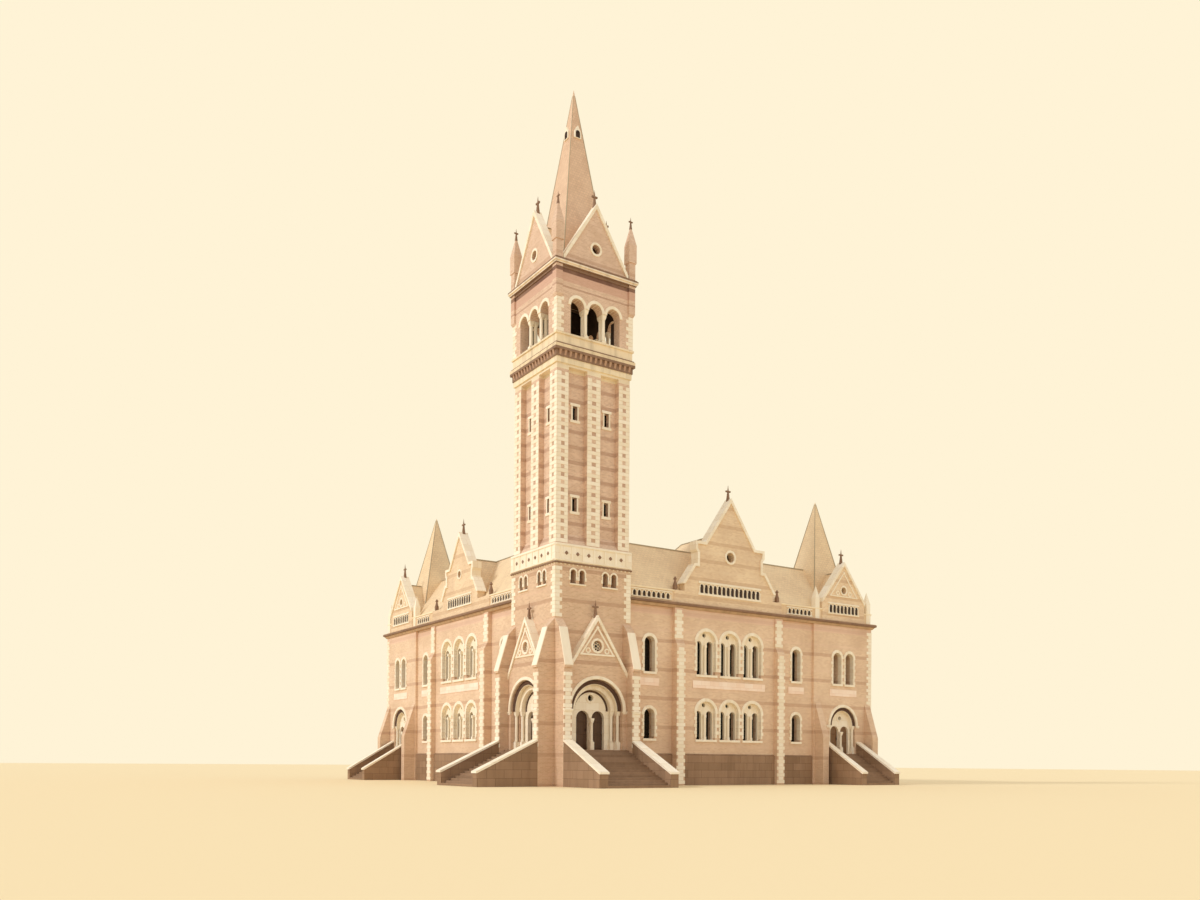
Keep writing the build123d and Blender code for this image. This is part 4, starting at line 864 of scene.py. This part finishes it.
finishPiece("gableKnobs", blueStone,
            [(joinPieces([knobFoot, knobTop]), alongStreets(knob["axes"], knob["face"], knob["level"]))])
print("carving done")


# lead rolls over the roofs' ridges, hips and deck
rolls = {"radius": 0.03, "deckRadius": 0.024, "pitch": 0.62, "count": 15, "first": 1.85,
         "nearTower": (0.62, 1.16), "ridgeStart": -0.3, "crossStart": -2.25, "towerStart": -1.5}
roof = {"deck": 8.505, "deckBack": -11.58, "ridge": 8.5, "ridgeLine": -0.25, "ridgeEnds": (1.5, 10.98),
        "ridgeGap": (5.3, 6.45), "hip": 11.625, "hipStart": -0.9, "eaves": 6.77, "eavesLine": 13.0,
        "crossFront": 1.0, "crossEnd": -1.545, "crossHalf": 0.51, "southCross": 9.09, "westCross": 8.479,
        "westCrossEnd": -0.22, "pavilionRidge": 8.28, "pavilionEnd": 0.43, "cornerFoot": 1.125,
        "cornerHead": (12.48, 0.605, 7.42)}
pyramid = {"top": 11.3, "slope": 0.22, "foot": 7.45, "tip": 11.21, "tipHalf": 0.02, "radii": (0.026, 0.012)}
spireLead = {"foot": (0.905, 17.02), "tip": (0.03, 23.19), "radii": (0.024, 0.01),
             "cross": (1.22, 0.7, 18.47), "crossRadius": 0.026}


def leadRoll(start, end, radius, endRadius=None):
    # a round roll between two points (u, v, z)
    low = Vector((start[0] - towerOffset, -start[1] - towerOffset, start[2]))
    high = Vector((end[0] - towerOffset, -end[1] - towerOffset, end[2]))
    return newMesh(bpy.ops.mesh.primitive_cone_add, vertices=8, radius1=radius, radius2=endRadius or radius,
                   depth=(high - low).length, location=(low + high) / 2,
                   rotation=(high - low).to_track_quat("Z", "Y").to_euler())


# the deck's rolls start short of the cross roof, of the ridge or of the tower
deckStarts = []
for index in range(rolls["count"]):
    u = rolls["first"] + index * rolls["pitch"]
    crossing = abs(u - centreAxis) < rolls["pitch"]
    deckStarts.append((u, rolls["crossStart"] if crossing else rolls["ridgeStart"]))
deckStarts += [(u, rolls["towerStart"]) for u in rolls["nearTower"]]
deck = roof["deck"]
finishPiece("deckRolls", leadwork,
            [(leadRoll((u, start, deck), (u, roof["deckBack"], deck), rolls["deckRadius"]), here)
             for u, start in deckStarts])

ridge, line, hip, eaves = roof["ridge"], roof["ridgeLine"], roof["hip"], roof["eaves"]
eavesLine, pavilionRidge = roof["eavesLine"], roof["pavilionRidge"]
(nearEnd, farEnd), (gapStart, gapEnd) = roof["ridgeEnds"], roof["ridgeGap"]
crossFront, crossEnd, half = roof["crossFront"], roof["crossEnd"], roof["crossHalf"]
southCross = (centreAxis, crossEnd, roof["southCross"])
west = [swapStreets]

# each span is (places, start, end)
ridgeSpans = ((here, (nearEnd, line, ridge), (gapStart, line, ridge)),
              (here, (gapEnd, line, ridge), (farEnd, line, ridge)),
              (here, (centreAxis, crossFront, roof["southCross"]), southCross),
              (here, southCross, (centreAxis - half, crossEnd - half, ridge)),
              (here, southCross, (centreAxis + half, crossEnd - half, ridge)),
              (west, (nearEnd, line, ridge), (farEnd, line, ridge)),
              (west, (centreAxis, crossFront, roof["westCross"]),
               (centreAxis, roof["westCrossEnd"], roof["westCross"])),
              (mirrored, (hip, roof["hipStart"], ridge), (hip, -hip, ridge)),
              (mirrored, (pavilionAxis, crossFront, pavilionRidge),
               (pavilionAxis, roof["pavilionEnd"], pavilionRidge)),
              (mirrored, (eavesLine, roof["cornerFoot"], eaves), roof["cornerHead"]),
              (here, (eavesLine, -eavesLine, eaves), (hip, -hip, ridge)))
ridgeRolls = [(leadRoll(start, end, rolls["radius"]), places) for places, start, end in ridgeSpans]
for side, out in ((1, 1), (1, -1), (-1, 1), (-1, -1)):
    low = ridge if (side, out) == (-1, -1) else pyramid["foot"]
    reach = (pyramid["top"] - low) * pyramid["slope"]
    foot = (pavilionAxis + side * reach, line + out * reach, low)
    tip = (pavilionAxis + side * pyramid["tipHalf"], line + out * pyramid["tipHalf"], pyramid["tip"])
    ridgeRolls.append((leadRoll(foot, tip, *pyramid["radii"]), mirrored))
finishPiece("ridgeRolls", leadwork, ridgeRolls)

(footHalf, footLevel), (tipHalf, tipLevel) = spireLead["foot"], spireLead["tip"]
spireRolls = []
for side, out in ((-1, -1), (-1, 1), (1, -1), (1, 1)):
    foot = (side * footHalf, out * footHalf, footLevel)
    tip = (side * tipHalf, out * tipHalf, tipLevel)
    spireRolls.append((leadRoll(foot, tip, *spireLead["radii"]), here))
far, near, level = spireLead["cross"]
for side in (-1, 1):
    for start, end in (((side * far, 0, level), (side * near, 0, level)),
                       ((0, side * far, level), (0, side * near, level))):
        spireRolls.append((leadRoll(start, end, spireLead["crossRadius"]), here))
finishPiece("spireRolls", leadwork, spireRolls)
print("roof lead done")


# leads over the glass
leads = {"bar": 0.012, "pane": (0.12, 0.165), "plane": 0.944, "backInset": 0.375, "bayWide": 0.84,
         "bayHead": 0.42, "singleWide": 0.44, "singleHead": 0.1}


def leadLattice(wide, low, high):
    # a grid of square leads, made from the edges of a flat grid
    columns = max(2, round(wide / leads["pane"][0]))
    rows = max(2, round((high - low) / leads["pane"][1]))
    lattice = newMesh(bpy.ops.mesh.primitive_grid_add, x_subdivisions=columns, y_subdivisions=rows, size=1,
                      location=(0, 0, (low + high) / 2), rotation=(math.radians(90), 0, 0),
                      scale=(wide, high - low, 1))
    bars = lattice.modifiers.new("bars", "WIREFRAME")
    bars.thickness = leads["bar"]
    bars.use_even_offset = False
    bpy.ops.object.modifier_apply(modifier="bars")
    return lattice


lattices = []
plane = leads["plane"]
for storey in storeys:
    sill, spring = storey["sill"], storey["spring"]
    lattices.append((leadLattice(leads["bayWide"], sill, spring + leads["bayHead"]),
                     alongStreets(bayAxes, plane)))
    lattices.append((leadLattice(leads["singleWide"], sill, spring + leads["singleHead"]),
                     singlePlaces(storey, plane, plane) + backPlaces(backFace - leads["backInset"])))
finishPiece("windowLeads", ironwork, lattices)

# rails, studs and ring handles on the door leaves
towerDoor = {"middle": 0.295, "rail": (0.44, 0.024, 0.075), "levels": (1.27, 1.72, 2.12), "face": 1.165,
             "stud": (0.016, 0.03, 0.016), "studPitch": 0.09, "studBevel": 0.005, "handle": (0.1, 1.85)}
sideDoor = {"middle": 0.27, "rail": (0.41, 0.02, 0.07), "levels": (1.27, 1.62, 1.95), "face": 1.067,
            "ironFace": 1.075, "stud": (0.014, 0.03, 0.014), "studPitch": 0.085, "studBevel": 0.004,
            "handle": (0.09, 1.78)}
handleRing = {"radius": 0.03, "bar": 0.006, "hang": 80, "plate": (0.045, 0.012, 0.06)}


def ringHandle(side, values):
    radius, plate = handleRing["radius"], handleRing["plate"]
    ring = newMesh(bpy.ops.mesh.primitive_torus_add, major_radius=radius, minor_radius=handleRing["bar"],
                   major_segments=16, minor_segments=5, location=(0, 0, -radius),
                   rotation=(math.radians(handleRing["hang"]), 0, 0))
    handle = joinPieces([ring, addBlock(plate, (0, plate[1] / 2, 0), 0.004)])
    return repeatPiece(handle, [moveTo(side * values["handle"][0], 0, values["handle"][1])])


def doorRails(side, values):
    return [addBlock(values["rail"], (side * values["middle"], 0, level), 0.006)
            for level in values["levels"]]


def doorStuds(side, values):
    # five studs on each rail
    return [addBlock(values["stud"], (side * values["middle"] + step * values["studPitch"], -0.002, level),
                     values["studBevel"]) for level in values["levels"] for step in (-2, -1, 0, 1, 2)]


def doorIron(side, values):
    return doorStuds(side, values) + [ringHandle(side, values)]


southDoorway, westDoorway = bothStreets(0, towerDoor["face"])
for side, southHand, westHand in ((-1, "left", "right"), (1, "right", "left")):
    for part, finish, makeParts in (("DoorRails", oakwork, doorRails), ("DoorStuds", ironwork, doorIron)):
        for street, hand, doorway in (("south", southHand, southDoorway), ("west", westHand, westDoorway)):
            master = joinPieces(makeParts(side, towerDoor))
            finishPiece(street + hand.capitalize() + part, finish, [(master, [doorway])],
                        street + "_" + hand + "_door")

sideRails = doorRails(-1, sideDoor) + doorRails(1, sideDoor)
finishPiece("pavilionDoorRails", (fadedOak, "door_timber"),
            [(joinPieces(sideRails), bothStreets(pavilionAxis, sideDoor["face"]))])
sideIron = [ringHandle(side, sideDoor) for side in (-1, 1)]
sideIron += doorStuds(-1, sideDoor) + doorStuds(1, sideDoor)
finishPiece("pavilionDoorIron", ironwork,
            [(joinPieces(sideIron), bothStreets(pavilionAxis, sideDoor["ironFace"]))])
print("joinery done")


# camera, floor and light
cameraValues = {"place": (-22.3175, -33.8175, 0.75), "pitch": 90.0, "roll": 0.38, "heading": -33.709,
                "lens": 30.44, "sensor": 36, "shift": (-0.0108, 0.261)}
lightValues = {"sunPower": 1.25, "sunPlace": (-20, -10, 30), "sunTurn": (58.0, 0.0, -96.0),
               "sunAngle": 8.0, "sky": 0.88, "skyColour": "#fffcf6", "backdrop": "#fff3d6",
               "floor": "#f0dbb0", "floorSize": 400}

bpy.ops.object.camera_add(location=cameraValues["place"])
camera = bpy.context.object
aim = turn(cameraValues["heading"], "Z") @ turn(cameraValues["pitch"], "X") @ turn(cameraValues["roll"], "Z")
camera.rotation_euler = aim.to_euler()
camera.data.lens = cameraValues["lens"]
camera.data.sensor_width = cameraValues["sensor"]
camera.data.shift_x, camera.data.shift_y = cameraValues["shift"]
bpy.context.scene.camera = camera

bpy.ops.object.light_add(type="SUN", location=lightValues["sunPlace"],
                         rotation=[math.radians(value) for value in lightValues["sunTurn"]])
sun = bpy.context.object
sun.data.energy = lightValues["sunPower"]
sun.data.angle = math.radians(lightValues["sunAngle"])

bpy.ops.mesh.primitive_plane_add(size=lightValues["floorSize"], location=(0, 0, 0))
ground = bpy.context.object
ground.name = "ground"
groundFinish, _, groundShader = newMaterial("paleGround", 0.95)
groundShader.inputs["Base Color"].default_value = linear(lightValues["floor"])
ground.data.materials.append(groundFinish)

# the sky lights the church, and a plain backdrop shows behind it and in its glass
world = bpy.data.worlds.new("sky")
bpy.context.scene.world = world
world.use_nodes = True
skyTree = world.node_tree
skyLight = skyTree.nodes["Background"]
skyLight.inputs["Color"].default_value = linear(lightValues["skyColour"])
skyLight.inputs["Strength"].default_value = lightValues["sky"]
backdrop = addNode(skyTree, "ShaderNodeBackground", {"Color": lightValues["backdrop"], "Strength": 1.0})
path = addNode(skyTree, "ShaderNodeLightPath")
seen = addMath(skyTree, "MAXIMUM", path.outputs["Is Camera Ray"], path.outputs["Is Glossy Ray"])
seenThrough = addMath(skyTree, "MAXIMUM", seen, path.outputs["Is Transmission Ray"])
blend = addNode(skyTree, "ShaderNodeMixShader",
                {0: seenThrough, 1: skyLight.outputs[0], 2: backdrop.outputs[0]})
skyTree.links.new(blend.outputs[0], skyTree.nodes["World Output"].inputs["Surface"])
bpy.context.scene.view_settings.view_transform = "Standard"

print("scene ready")
